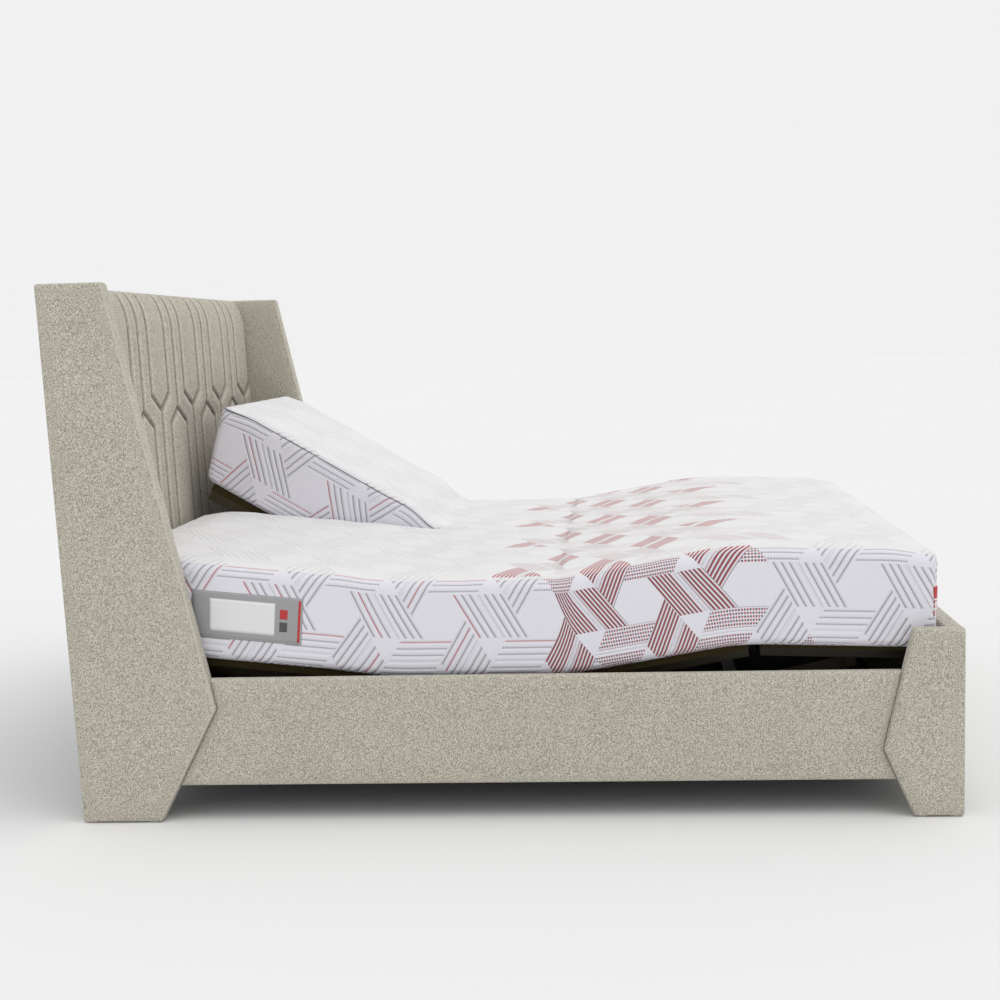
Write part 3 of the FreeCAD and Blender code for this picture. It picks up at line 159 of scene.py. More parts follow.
# Upholstered surround: plywood boards wrapped in thin foam and an oatmeal melange weave, stapled
# behind. The wings stand on the floor, the rails and footboard are bolted between them.
def open_group(name, *inputs):
    """A node group with a vector and these inputs, giving a colour, a height and a roughness."""
    group = bpy.data.node_groups.new(name, "ShaderNodeTree")
    for key, kind, value in (("Vector", "Vector", None), *inputs):
        socket = group.interface.new_socket(key, in_out="INPUT", socket_type="NodeSocket" + kind)
        if value is not None:
            socket.default_value = value
    for key, kind in (("Colour", "Color"), ("Height", "Float"), ("Roughness", "Float")):
        group.interface.new_socket(key, in_out="OUTPUT", socket_type="NodeSocket" + kind)
    return group, nodes_in(group), group.nodes.new("NodeGroupInput").outputs


def close_group(group, colour, height, roughness):
    """Joins the three results to the group's outputs."""
    end = group.nodes.new("NodeGroupOutput")
    for key, socket in (("Colour", colour), ("Height", height), ("Roughness", roughness)):
        group.links.new(socket, end.inputs[key])
    return group


def woven_cloth():
    """Nubbly plain weave in two yarn colours, with painted shade between the nubs, as a node group."""
    group, add, given = open_group(
        "woven_cloth", ("Threads", "Float", 500.0), ("Light Yarn", "Color", (0.5, 0.48, 0.4, 1)),
        ("Dark Yarn", "Color", (0.3, 0.28, 0.22, 1)), ("Mottle", "Float", 0.5),
    )
    cells = {"Vector": given["Vector"], "Scale": given["Threads"], "Randomness": 0.7}
    nubs = add("ShaderNodeTexVoronoi", cells, "Distance")
    coarse = add("ShaderNodeMath", (given["Threads"], 0.5), operation="MULTIPLY")
    fibres = {"Vector": given["Vector"], "Scale": coarse, "Detail": 2.0, "Roughness": 0.7}
    yarns = add("ShaderNodeTexNoise", fibres)
    spread = add("ShaderNodeMapRange", (yarns, 0.40, 0.60, 0.0, 1.0))
    clouds = add("ShaderNodeTexNoise", {"Vector": given["Vector"], "Scale": 5.0, "Detail": 3.0})
    speck = add("ShaderNodeMix", (given["Mottle"], None, 0.5, spread), data_type="FLOAT")
    soft = add("ShaderNodeMapRange", (clouds, 0.3, 0.7, -0.03, 0.03))
    shade = add("ShaderNodeMath", (speck, soft), operation="ADD", use_clamp=True)
    colour = tones(add, shade, given["Dark Yarn"], given["Light Yarn"])
    # Painted shade: the colour is darkened where the weave's height is low, between the nubs.
    painted_pit_shade = add("ShaderNodeMapRange", (nubs, 0.25, 0.75, 1.0, 0.82))
    dimmed = tones(add, 1.0, colour, painted_pit_shade, blend_type="MULTIPLY")
    height = add("ShaderNodeMapRange", (nubs, 0.1, 0.8, 1.0, 0.0))
    rough = add("ShaderNodeMapRange", (shade, 0.0, 1.0, 0.95, 0.8))
    return close_group(group, dimmed, height, rough)


weave = woven_cloth()


def grouped(finish, group, vector, strength, relief, values):
    """Puts a node group with these inputs before the surface shader of a finish."""
    material, shader, add, _ = finish
    tree = material.node_tree
    node = tree.nodes.new("ShaderNodeGroup")
    node.node_tree = group
    tree.links.new(vector, node.inputs["Vector"])
    for key, value in values.items():
        if isinstance(value, bpy.types.NodeSocket):
            tree.links.new(value, node.inputs[key])
        else:
            node.inputs[key].default_value = value
    bump = add("ShaderNodeBump", {"Strength": strength, "Distance": relief, "Height": node.outputs["Height"]})
    tree.links.new(node.outputs["Colour"], shader.inputs["Base Color"])
    tree.links.new(node.outputs["Roughness"], shader.inputs["Roughness"])
    tree.links.new(bump, shader.inputs["Normal"])
    return material


def cloth_finish(name, threads, light, dark, mottle, relief, sheen=0.15):
    """A material of that weave with its own yarns, thread count and relief."""
    finish = new_finish(name, 0.9, 0.25, 0.0, sheen)
    yarns = {"Threads": threads, "Light Yarn": light + (1,), "Dark Yarn": dark + (1,), "Mottle": mottle}
    return grouped(finish, weave, finish[3], 0.6, relief, yarns)


def offset_outline(outline, inset, radius, steps=6):
    """The outline moved in by inset, with its corners rounded; the same number of points each time."""
    corners = np.array(outline, float)
    count = len(corners)
    pairs = [(corners[i - 1], corners[i]) for i in range(count)]
    area = sum(a[0] * b[1] - b[0] * a[1] for a, b in pairs)
    turn = 1.0 if area > 0 else -1.0
    moved = []
    for i in range(count):
        before = corners[i] - corners[i - 1]
        after = corners[(i + 1) % count] - corners[i]
        before, after = before / np.linalg.norm(before), after / np.linalg.norm(after)
        n0, n1 = np.array((-before[1], before[0])) * turn, np.array((-after[1], after[0])) * turn
        moved.append(corners[i] + (n0 + n1) * inset / (1.0 + n0 @ n1))
    ring = []
    for i in range(count):
        here = moved[i]
        back, on = moved[i - 1] - here, moved[(i + 1) % count] - here
        back, on = back / np.linalg.norm(back), on / np.linalg.norm(on)
        convex = turn * (on[0] * back[1] - on[1] * back[0]) > 0
        bend = max(0.0008, radius - inset if convex else radius + inset)
        half = math.acos(max(-1.0, min(1.0, float(back @ on)))) / 2.0
        reach = min(bend / math.tan(half), 0.03)
        for t in np.linspace(0, 1, steps):
            a, b = here + back * reach, here + on * reach
            ring.append((1 - t) ** 2 * a + 2 * t * (1 - t) * here + t * t * b)
    return ring


def wrapped_board(name, outline, low, high, axis, edge=0.006, corner=0.008, crown=0.0025, finish=None):
    """A board wrapped in foam and cloth: soft edges, and faces that swell a little from them."""
    rings = []
    middle = (low + high) / 2.0
    for side, face in ((1.0, low), (-1.0, high)):
        steps = [(edge * (1 - math.cos(a)), edge * (1 - math.sin(a))) for a in np.linspace(0, math.pi / 2, 5)]
        steps += [(edge + 0.008, -crown * 0.45), (edge + 0.02, -crown * 0.8), (edge + 0.04, -crown)]
        ring_set = [(inset, face + side * depth) for inset, depth in steps]
        rings += ring_set[::-1] if side > 0 else ring_set
        if side > 0:
            rings.append((-crown * 0.6, middle))
    points, faces = [], []
    for inset, across in rings:
        for a, b in offset_outline(outline, inset, corner):
            points.append((across, a, b) if axis == "x" else (a, across, b))
    size = len(points) // len(rings)
    for i in range(len(rings) - 1):
        for j in range(size):
            k = (j + 1) % size
            faces.append((i * size + j, i * size + k, (i + 1) * size + k, (i + 1) * size + j))
    faces.append(tuple(range(size)))
    faces.append(tuple(range((len(rings) - 1) * size, len(rings) * size))[::-1])
    return plain_mesh(name, points, faces, finish or upholstery)


upholstery = cloth_finish("oatmeal_weave", 760.0, (0.74, 0.70, 0.595), (0.295, 0.275, 0.22), 1.0, 0.0006)
wing_low, wing_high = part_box("wing_right")
foot_low, foot_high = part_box("foot_wing_right")
half, thick = wing_high.x, wing_high.x - wing_low.x
lean_back = 0.046            # how far the top of the headboard stands behind its foot
off_floor = 0.003
wing_foot, wing_front, wing_front_z = 0.198, 0.345, 0.285
wing_top = 0.165
foot_base, foot_front, foot_front_z, foot_top = 0.119, 0.191, 0.167, 0.121
joint = 0.001                # the rails stop this short of both wings
foot_y, back_y = foot_low.y, wing_high.y - lean_back
wing_side = [
    (back_y, off_floor), (back_y - wing_foot, off_floor), (back_y - wing_front, wing_front_z),
    (back_y + lean_back - wing_top, wing_high.z), (back_y + lean_back, wing_high.z),
]
foot_side = [
    (foot_y, off_floor), (foot_y + foot_base, off_floor), (foot_y + foot_front, foot_front_z),
    (foot_y + foot_top, foot_high.z), (foot_y, foot_high.z),
]
rail_low, rail_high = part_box("rail_right")
slope = (wing_front - wing_foot) / (wing_front_z - off_floor)
rise = (wing_front - wing_top + lean_back) / (wing_high.z - wing_front_z)
foot_slope = (foot_front - foot_base) / (foot_front_z - off_floor)
foot_rise = (foot_front - foot_top) / (foot_high.z - foot_front_z)
rail_side = [
    (foot_y + foot_base + foot_slope * (rail_low.z - off_floor) + joint, rail_low.z),
    (back_y - wing_foot - slope * (rail_low.z - off_floor) - joint, rail_low.z),
    (back_y - wing_front - joint, wing_front_z),
    (back_y - wing_front - joint + rise * (rail_high.z - wing_front_z), rail_high.z),
    (foot_y + foot_front + joint - foot_rise * (rail_high.z - foot_front_z), rail_high.z),
    (foot_y + foot_front + joint, foot_front_z),
]
for side, word in ((-1.0, "left"), (1.0, "right")):
    for piece_name, outline, inside, outside, corner, node in (
        ("headboard_wing_", wing_side, half - thick, half, 0.008, "wing_"),
        ("foot_corner_wing_", foot_side, half - thick, half, 0.008, "foot_wing_"),
        ("side_rail_", rail_side, rail_low.x, rail_high.x, 0.004, "rail_"),
    ):
        low, high = sorted((side * inside, side * outside))
        board = wrapped_board(piece_name + word, outline, low, high, "x", corner=corner)
        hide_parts(node + word)
        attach(board, "base")
end_low, end_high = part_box("footboard")
end_outline = [(end_low.x, end_low.z), (end_high.x, end_low.z), (end_high.x, end_high.z), (end_low.x, end_high.z)]
end_board = wrapped_board("foot_end_board", end_outline, end_low.y, end_high.y, "y", corner=0.006)
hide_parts("footboard")
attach(end_board, "base")


# Headboard pad: foam over a board, its cloth drawn down by sewn channels. Wide channels end in a
# point half way up, narrow ones step aside between them, and the whole pad rolls back at the top.
# It is screwed between the two wings.
unit = 2.0 * (half - thick) / 22.0
seam_z, seam_point = 0.992, 0.046
pad_bottom, pad_top = 0.120, wing_high.z
lean = math.atan2(lean_back, wing_high.z)
seams = []
for k in range(6):
    tip = 4 * k + 1
    seams += [(tip - 1, pad_top, tip - 1, seam_z + seam_point), (tip + 1, pad_top, tip + 1, seam_z + seam_point)]
    seams += [(tip - 1, seam_z + seam_point, tip, seam_z), (tip + 1, seam_z + seam_point, tip, seam_z)]
    seams += [(tip, seam_z, tip, pad_bottom)]
for k in range(5):
    tip = 4 * k + 3
    seams += [(tip, pad_top, tip, seam_z)]
    seams += [(tip, seam_z, tip - 1, seam_z - seam_point), (tip, seam_z, tip + 1, seam_z - seam_point)]
    seams += [(u, seam_z - seam_point, u, pad_bottom) for u in (tip - 1, tip + 1)]


def seam_distance(x, z):
    """How far each place on the pad is from its nearest seam."""
    nearest = np.full(x.shape, 9.0)
    for u0, z0, u1, z1 in seams:
        ax, bx = u0 * unit - half + thick, u1 * unit - half + thick
        dx, dz = bx - ax, z1 - z0
        t = np.clip(((x - ax) * dx + (z - z0) * dz) / (dx * dx + dz * dz), 0, 1)
        nearest = np.minimum(nearest, np.hypot(x - ax - t * dx, z - z0 - t * dz))
    return nearest


def quads_of(grid):
    """Four-sided faces over a grid of points."""
    return np.stack([grid[:-1, :-1], grid[:-1, 1:], grid[1:, 1:], grid[1:, :-1]], -1).reshape(-1, 4).tolist()


def rim_of(grid):
    """The points round the edge of a grid, in order."""
    return [*grid[0, :-1], *grid[:-1, -1], *grid[-1, :0:-1], *grid[:0:-1, 0]]


beside_seam = np.array((-0.016, -0.011, -0.0075, -0.004, 0.0, 0.004, 0.0075, 0.011, 0.016))
pad_xs = np.unique(np.round(np.concatenate([
    np.linspace(-half + thick + 0.002, half - thick - 0.002, 330),
    *[beside_seam + u * unit - half + thick for u in range(1, 22)],
]), 4))
points_low, points_high = seam_z - 0.07, seam_z + 0.07
top_roll = 0.11              # height over which the pad rolls back at the top
pad_zs = np.unique(np.round(np.concatenate([
    np.linspace(pad_bottom, points_low, 26), np.linspace(points_low, points_high, 60),
    np.linspace(points_high, pad_top - top_roll, 14),
    pad_top - top_roll * (1 - np.sin(np.linspace(0, math.pi / 2, 16))),
]), 4))
grid_x, grid_z = np.meshgrid(pad_xs, pad_zs)
from_seam = seam_distance(grid_x, grid_z)
crease, puff = 0.010, 0.012  # swell close to a seam, and further out
swell = crease * (1.0 - np.exp(-from_seam / 0.0035)) + puff * (1.0 - np.exp(-from_seam / 0.026))
swell *= np.clip((grid_z - pad_bottom) / 0.03, 0, 1) ** 0.5
roll_up = np.clip((grid_z - pad_top + top_roll) / top_roll, 0, 1)
back_off = 0.036 * (1.0 - np.sqrt(np.clip(1.0 - roll_up ** 2, 0, 1)))
swell_up = swell * (1.0 - 0.35 * roll_up ** 2)
front_y = back_y - 0.0325 - swell_up + back_off
front_z = grid_z - 0.005 * roll_up ** 3 * (1 - swell / (crease + puff))
rear_y = np.full(grid_x.shape, back_y - 0.0017)
pad_points = np.concatenate([
    np.stack([grid_x, front_y, front_z], -1).reshape(-1, 3),
    np.stack([grid_x, rear_y, grid_z + 0.001], -1).reshape(-1, 3),
])
rows, columns = grid_x.shape
at = np.arange(rows * columns).reshape(rows, columns)
pad_faces = []
behind = rows * columns
for first in (0, behind):
    pad_faces += quads_of(at + first)
rim = rim_of(at)
for a, b in zip(rim, rim[1:] + rim[:1]):
    pad_faces.append((a, b, b + behind, a + behind))
turned = pad_points - (0, back_y, 0)
pad_points = np.stack([
    turned[:, 0], turned[:, 1] * math.cos(lean) + turned[:, 2] * math.sin(lean) + back_y,
    turned[:, 2] * math.cos(lean) - turned[:, 1] * math.sin(lean),
], -1)
pad_cloth = cloth_finish("headboard_cloth", 620.0, (0.68, 0.64, 0.54), (0.27, 0.245, 0.19), 1.0, 0.0004)
tree = pad_cloth.node_tree
add = nodes_in(tree)
pad_shader = tree.nodes["Principled BSDF"]
drawn = pad_shader.inputs["Base Color"].links[0].from_socket
# Painted light on the pad's cloth: painted shade darkens each seam groove, and a painted highlight lightens the
# rim beside it.
for name, tint in (("painted_rim_highlight", (0.80, 0.76, 0.66, 1)), ("painted_seam_shade", (0.085, 0.075, 0.052, 1))):
    mask = add("ShaderNodeAttribute", out="Fac", attribute_name=name)
    drawn = tones(add, mask, drawn, tint)
tree.links.new(drawn, pad_shader.inputs["Base Color"])
pad = plain_mesh("headboard_pad", pad_points, pad_faces, pad_cloth)
placed = np.array([tuple(v.co) for v in pad.data.vertices])
up_pad = placed[:, 2] * math.cos(lean) + (placed[:, 1] - back_y) * math.sin(lean)
from_seam = seam_distance(placed[:, 0], up_pad)
# Painted shade in a band along every seam, and a painted highlight in a band 16 mm out from it.
for name, strength, apart, spread in (("painted_seam_shade", 0.72, 0.0, 0.0075), ("painted_rim_highlight", 0.30, 0.016, 0.004)):
    shading = pad.data.attributes.new(name, "FLOAT", "POINT")
    amount = strength * np.exp(-((from_seam - apart) / spread) ** 2)
    shading.data.foreach_set("value", amount.astype(np.float32))
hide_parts("headboard_frame", "headboard_channels_wide", "headboard_channels_narrow")
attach(pad, "base")


# Lining: thin dark non-woven cloth, stapled to the back of the headboard all round, and the same
# cloth under the base as a dust cover.
lining_cloth = cloth_finish("black_lining", 900.0, (0.05, 0.05, 0.052), (0.02, 0.02, 0.021), 0.6, 0.0002, 0.0)
for name in ("headboard_back_cloth", "dust_cover"):
    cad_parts[name].data.materials.clear()
    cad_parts[name].data.materials.append(lining_cloth)
cover_low, cover_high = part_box("dust_cover")
flap_x, flap_y = half - thick - 0.001, (foot_y + 0.043, back_y - 0.040)
flap_points, flap_faces = [], []
for x0, x1, y0, y1, top in (
    (-flap_x, cover_low.x, *flap_y, cover_high.z), (cover_high.x, flap_x, *flap_y, cover_high.z),
    (cover_low.x, cover_high.x, flap_y[0], cover_low.y, cover_high.z),
    (cover_low.x, cover_high.x, cover_high.y, flap_y[1], cover_high.z),
    (-flap_x, flap_x, flap_y[0], flap_y[0] + 0.001, 0.14),
    (-flap_x, flap_x, flap_y[1] - 0.001, flap_y[1], 0.16),
):
    first = len(flap_points)
    flap_points += [(x, y, z) for z in (cover_low.z, top) for x, y in ((x0, y0), (x1, y0), (x1, y1), (x0, y1))]
    sheet_faces = ((0, 1, 2, 3), (4, 5, 6, 7), (0, 1, 5, 4), (1, 2, 6, 5), (2, 3, 7, 6), (3, 0, 4, 7))
    flap_faces += [tuple(first + k for k in face) for face in sheet_faces]
flaps = plain_mesh("dust_cover_flaps", flap_points, flap_faces, lining_cloth, smooth=False)
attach(flaps, "base")


def grown(name, seeds, build, values, material, body):
    """Runs a Geometry Nodes tree on a mesh of seed points or lines, and keeps the plain mesh it makes."""
    points, edges = seeds
    mesh = bpy.data.meshes.new(name + "_seed")
    mesh.from_pydata([tuple(p) for p in points], edges, [])
    seed = bpy.data.objects.new(name + "_seed", mesh)
    bpy.context.scene.collection.objects.link(seed)
    tree = bpy.data.node_groups.new(name + "_tree", "GeometryNodeTree")
    tree.interface.new_socket("Geometry", in_out="INPUT", socket_type="NodeSocketGeometry")
    new_input = tree.interface.new_socket
    inputs = {key: new_input(key, in_out="INPUT", socket_type="NodeSocketFloat") for key in values}
    tree.interface.new_socket("Geometry", in_out="OUTPUT", socket_type="NodeSocketGeometry")
    given = tree.nodes.new("NodeGroupInput").outputs
    add = nodes_in(tree)
    shape = add("GeometryNodeRealizeInstances", (build(add, given),))
    shape = add("GeometryNodeSetMaterial", {"Geometry": shape, "Material": material})
    end = tree.nodes.new("NodeGroupOutput")
    tree.links.new(shape, end.inputs[0])
    modifier = seed.modifiers.new("grow", "NODES")
    modifier.node_group = tree
    for key, socket in inputs.items():
        modifier[socket.identifier] = values[key]
    ready = seed.evaluated_get(bpy.context.evaluated_depsgraph_get())
    result = bpy.data.meshes.new_from_object(ready)
    piece = bpy.data.objects.new(name, result)
    bpy.context.scene.collection.objects.link(piece)
    bpy.data.objects.remove(seed)
    for face in result.polygons:
        face.use_smooth = True
    if body:
        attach(piece, body)
    return piece


def staples(add, given):
    """A row of small flat bars, one on each seed point."""
    size = add("ShaderNodeCombineXYZ", (given["Length"], given["Depth"], given["Width"]))
    bar = add("GeometryNodeMeshCube", (size,))
    return add("GeometryNodeInstanceOnPoints", {"Points": given["Geometry"], "Instance": bar})


staple_steel, shader, add, place = new_finish("staple_steel", 0.35, 0.5, 1.0)
shade = add("ShaderNodeTexNoise", {"Vector": place, "Scale": 300.0})
tone = tones(add, shade, (0.42, 0.42, 0.43, 1), (0.62, 0.62, 0.64, 1))
staple_steel.node_tree.links.new(tone, shader.inputs["Base Color"])
inner = half - thick - 0.02
spots = [(x, 0.0, z) for z in (pad_bottom + 0.02, pad_top - 0.02) for x in np.arange(-inner, inner, 0.06)]
spots += [(side * inner, 0.0, z) for side in (-1, 1) for z in np.arange(pad_bottom + 0.08, pad_top - 0.05, 0.06)]
tacks = [(x, back_y + z * math.sin(lean) + 0.0002, z * math.cos(lean)) for x, _, z in spots]
staple_size = {"Length": 0.012, "Depth": 0.0012, "Width": 0.0012}
back_staples = grown("back_staples", (tacks, []), staples, staple_size, staple_steel, "base")


# Welts: a cord covered in the same weave in lighter yarns, a painted highlight, sewn along both
# front edges of each headboard wing from the floor to the top.
def cord_along(add, given):
    """A round cord of the given radius along the seed line."""
    line = add("GeometryNodeMeshToCurve", (given["Geometry"],))
    line = add("GeometryNodeResampleCurve", {"Curve": line, "Count": 160})
    ring = add("GeometryNodeCurvePrimitiveCircle", {"Resolution": 10, "Radius": given["Radius"]})
    return add("GeometryNodeCurveToMesh", {"Curve": line, "Profile Curve": ring, "Fill Caps": True})


# The welt's yarns are lighter than the wing's: a painted highlight along the wings' front edges.
lit_welt_cloth = cloth_finish("welt_weave_painted_light", 700.0, (0.66, 0.63, 0.54), (0.50, 0.47, 0.39), 0.5, 0.0003)
sewn_in = 0.003              # the welts lie this far inside the wing's outline
welt_path = [
    (back_y - wing_foot + sewn_in, 2 * off_floor), (back_y - wing_front + sewn_in, wing_front_z),
    (back_y + lean_back - wing_top + 0.004, wing_high.z - 0.004),
]
welt_path = [
    tuple(np.array(a) + (np.array(b) - np.array(a)) * t)
    for a, b in zip(welt_path, welt_path[1:]) for t in np.linspace(0, 1, 60, endpoint=b is welt_path[-1])
]
for side, word in ((-1.0, "left"), (1.0, "right")):
    for edge_x, edge_word in ((half - sewn_in, "outer"), (half - thick + sewn_in, "inner")):
        track = [(side * edge_x, y, z) for y, z in welt_path]
        links = [(i, i + 1) for i in range(len(track) - 1)]
        welt_name = "wing_welt_" + edge_word + "_" + word
        welt = grown(welt_name, (track, links), cord_along, {"Radius": 0.0032}, lit_welt_cloth, "base")


# Mattress: a foam core in a stretch-knit cover, quilted with bands of short stitched lines that run
# in three directions and pass over and under each other. Grey yarn mostly, red over the thighs.
def knit_cover():
    """The cover's banded stitching as a node group: colour, depth and roughness over the surface."""
    group, add, given = open_group(
        "knit_cover", ("Side", "Float", 0.0), ("Period", "Float", 0.225), ("Band", "Float", 0.52),
        ("Spacing", "Float", 0.0165), ("Side Knit", "Color", (0.76, 0.75, 0.81, 1)),
        ("Top Knit", "Color", (0.775, 0.77, 0.775, 1)), ("Grey Yarn", "Color", (0.22, 0.21, 0.235, 1)),
        ("Black Yarn", "Color", (0.045, 0.010, 0.014, 1)), ("Red Yarn", "Color", (0.43, 0.006, 0.010, 1)),
        ("Red From", "Float", -0.68), ("Red To", "Float", -0.14),
    )

    def sums(kind, *values):
        return add("ShaderNodeMath", values, operation=kind)

    def either(mask, off, on):
        return tones(add, mask, off, on)

    parts = group.nodes.new("ShaderNodeSeparateXYZ")
    group.links.new(given["Vector"], parts.inputs[0])
    along, across = parts.outputs[0], parts.outputs[1]
    period = given["Period"]
    level_row = sums("MULTIPLY", sums("ADD", sums("FLOOR", sums("DIVIDE", across, period)), 0.5), period)
    shifts = ((0.0, 7.258), (60.0, 7.344), (120.0, 7.228))
    steps = []
    for turn, shift in shifts:
        c, s = math.cos(math.radians(turn)), math.sin(math.radians(turn))
        gap = sums("ADD", sums("SUBTRACT", sums("MULTIPLY", across, c), sums("MULTIPLY", along, s)), shift)
        steps.append(sums("DIVIDE", gap, period))
    marks = []
    for k, (turn, shift) in enumerate(shifts):
        c, s = math.cos(math.radians(turn)), math.sin(math.radians(turn))
        lean_turn, lean_shift = shifts[k or 1]
        lc, ls = math.cos(math.radians(lean_turn)), math.sin(math.radians(lean_turn))
        lined = sums("MULTIPLY", sums("ADD", sums("FLOOR", steps[k or 1]), 0.5), period)
        beyond = sums("SUBTRACT", lined, lean_shift)
        here = sums("DIVIDE", sums("SUBTRACT", sums("MULTIPLY", level_row if k else across, lc), beyond), ls)
        past_foot = sums("GREATER_THAN", here, given["Red From"])
        red_patch = sums("MULTIPLY", past_foot, sums("LESS_THAN", here, given["Red To"]))
        headward = sums("GREATER_THAN", here, given["Red To"])
        part = sums("FRACT", steps[k])
        band = sums("LESS_THAN", part, given["Band"])
        middle = sums("ABSOLUTE", sums("SUBTRACT", sums("DIVIDE", part, given["Band"]), 0.5))
        open_middle = sums("GREATER_THAN", middle, 0.07)
        spacing = sums("MULTIPLY", given["Spacing"], sums("SUBTRACT", 1.0, sums("MULTIPLY", red_patch, 0.47)))
        count = sums("DIVIDE", sums("MULTIPLY", part, period), spacing)
        row = sums("FLOOR", count)
        beside = sums("SUBTRACT", sums("FRACT", count), 0.5)
        stroke = sums("ABSOLUTE", beside)
        thread = sums("ADD", 0.0012 if k else 0.0017, sums("MULTIPLY", red_patch, 0.0011 if k else 0.0008))
        width = sums("DIVIDE", thread, spacing)
        fades = (sums("MULTIPLY", width, 0.5), sums("MULTIPLY", width, 1.5))
        thin = add("ShaderNodeMapRange", (stroke, *fades, 1.0, 0.0))
        rib = add(
            "ShaderNodeMapRange", (stroke, 0.0, 0.38, 0.0 if k else 0.6, 1.0), interpolation_type="SMOOTHSTEP",
        )
        run = sums("DIVIDE", sums("ADD", sums("MULTIPLY", along, c), sums("MULTIPLY", across, s)), 0.0062)
        if k == 0:
            thin = sums("MULTIPLY", thin, sums("GREATER_THAN", sums("FRACT", run), 0.36))
        if k:
            odd = sums("LESS_THAN", beside, -0.05)
        else:
            halves = sums("MULTIPLY", sums("ADD", row, sums("FLOOR", run)), 0.5)
            odd = sums("GREATER_THAN", sums("FRACT", halves), 0.25)
        odd = sums("MULTIPLY", odd, given["Side"])
        band_number = sums("MULTIPLY", sums("FLOOR", steps[k]), 4.7 + turn)
        spread = sums("SINE", sums("ADD", sums("MULTIPLY", row, 12.9), band_number))
        chance = sums("FRACT", sums("MULTIPLY", spread, 43.7))
        ruby = sums("MULTIPLY", sums("GREATER_THAN", chance, 0.76), headward)
        plain_yarn = either(ruby, given["Grey Yarn"], given["Red Yarn"])
        yarn = either(red_patch, plain_yarn, either(odd, given["Red Yarn"], given["Black Yarn"]))
        strong = sums("MULTIPLY", red_patch, 1.0 if k == 2 else 0.0)
        top_share = add("ShaderNodeMix", (strong, None, 0.20, 0.85), data_type="FLOAT")
        share = add("ShaderNodeMix", (given["Side"], None, top_share, 0.92), data_type="FLOAT")
        marks.append((band, sums("MULTIPLY", sums("MULTIPLY", thin, open_middle), share), rib, yarn))
    cover, ridge = 0.0, 1.0
    knit = either(given["Side"], given["Top Knit"], given["Side Knit"])
    fine_knit = {"Vector": given["Vector"], "Scale": 70.0, "Distortion": 2.5, "Detail": 1.0}
    chevron = add("ShaderNodeTexWave", fine_knit, bands_direction="DIAGONAL")
    colour = either(sums("MULTIPLY", chevron, 0.10), knit, (0.60, 0.59, 0.66, 1))
    for k, (band, thin, rib, yarn) in enumerate(marks):
        shown = sums("MULTIPLY", band, sums("SUBTRACT", 1.0, marks[(k + 2) % 3][0]))
        colour = either(sums("MULTIPLY", shown, thin), colour, yarn)
        ridge = add("ShaderNodeMix", (shown, None, ridge, rib), data_type="FLOAT")
        cover = sums("MAXIMUM", cover, sums("MULTIPLY", shown, thin))
    depth = add("ShaderNodeMix", (given["Side"], None, 0.55, 0.9), data_type="FLOAT")
    height = sums("ADD", sums("MULTIPLY", ridge, depth), sums("MULTIPLY", chevron, 0.08))
    rough = add("ShaderNodeMapRange", (cover, 0.0, 1.0, 0.85, 0.6))
    return close_group(group, colour, height, rough)


knit_finish = new_finish("quilted_knit", 0.85, 0.3, 0.0, 0.1)
add = knit_finish[2]
cover_place = add("ShaderNodeUVMap", uv_map="cover")
side_face = add("ShaderNodeAttribute", out="Fac", attribute_name="side_face")
cover_knit = grouped(knit_finish, knit_cover(), cover_place, 0.7, 0.005, {"Side": side_face})

seat_low, seat_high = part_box("seat_mattress")
deck_z, deep = seat_low.z, seat_high.z - seat_low.z
bed_half = seat_high.x
head_y, thigh_y, knee_y = 0.2265, -0.1485, -0.6235
foot_end, head_end = -1.0555, 0.9865
head_axis_z = deck_z + 0.160
rest_turn = {"left": math.radians(6.0), "right": math.radians(31.0)}
thigh_rest, foot_rest = math.radians(9.6), math.radians(-1.9)
fold_before, fold_after = 0.04, 0.17


def ease(value, low, high):
    """A smooth step from 0 at low to 1 at high."""
    t = np.clip((value - low) / (high - low), 0.0, 1.0)
    return t * t * (3 - 2 * t)


path_s = np.linspace(0.0, 1.0, 2001)
thigh_length, knee_bend = thigh_y - knee_y, 0.09
at_knee = ease(path_s, thigh_length - knee_bend, thigh_length + knee_bend)
path_angle = thigh_rest * ease(path_s, 0.0, 0.10) + (foot_rest - thigh_rest) * at_knee
path_step = path_s[1] - path_s[0]
bend_from = thigh_y + 0.04    # where the mattress starts to bend up over the thighs
path_y = bend_from - np.concatenate([[0], np.cumsum(np.cos(path_angle[:-1]) * path_step)])
path_z = deck_z + np.concatenate([[0], np.cumsum(np.sin(path_angle[:-1]) * path_step)])


def bent(x, y, h, turn):
    """A place in the flat mattress, h above the deck, moved to where it lies at rest."""
    s = np.maximum(bend_from - y, 0.0)
    angle = np.interp(s, path_s, path_angle)
    lying = y > bend_from
    out_y = np.where(lying, y, np.interp(s, path_s, path_y) + h * np.sin(angle))
    out_z = np.where(lying, deck_z + h, np.interp(s, path_s, path_z) + h * np.cos(angle))
    lift = turn * ease(y, head_y - fold_before, head_y + 0.20)
    strain = turn / rest_turn["right"]
    thin = 1.0 - 0.05 * strain * ease(y, head_y, head_y + 0.3)
    out_z = np.where(y > head_y, deck_z + (out_z - deck_z) * thin, out_z)
    push = (0.018 * strain + (out_z - deck_z) * (0.26 * strain + 0.03)) * ease(y, head_y + 0.10, head_end)
    dy, dz = out_y + push - head_y, out_z - head_axis_z
    raised_y = head_y + dy * np.cos(lift) - dz * np.sin(lift)
    raised_z = head_axis_z + dy * np.sin(lift) + dz * np.cos(lift)
    raised = (y > head_y - fold_before) & (turn > 0)
    return np.stack([x, np.where(raised, raised_y, out_y), np.where(raised, raised_z, out_z)], -1)


edge_top, edge_low, edge_end = 0.034, 0.022, 0.024


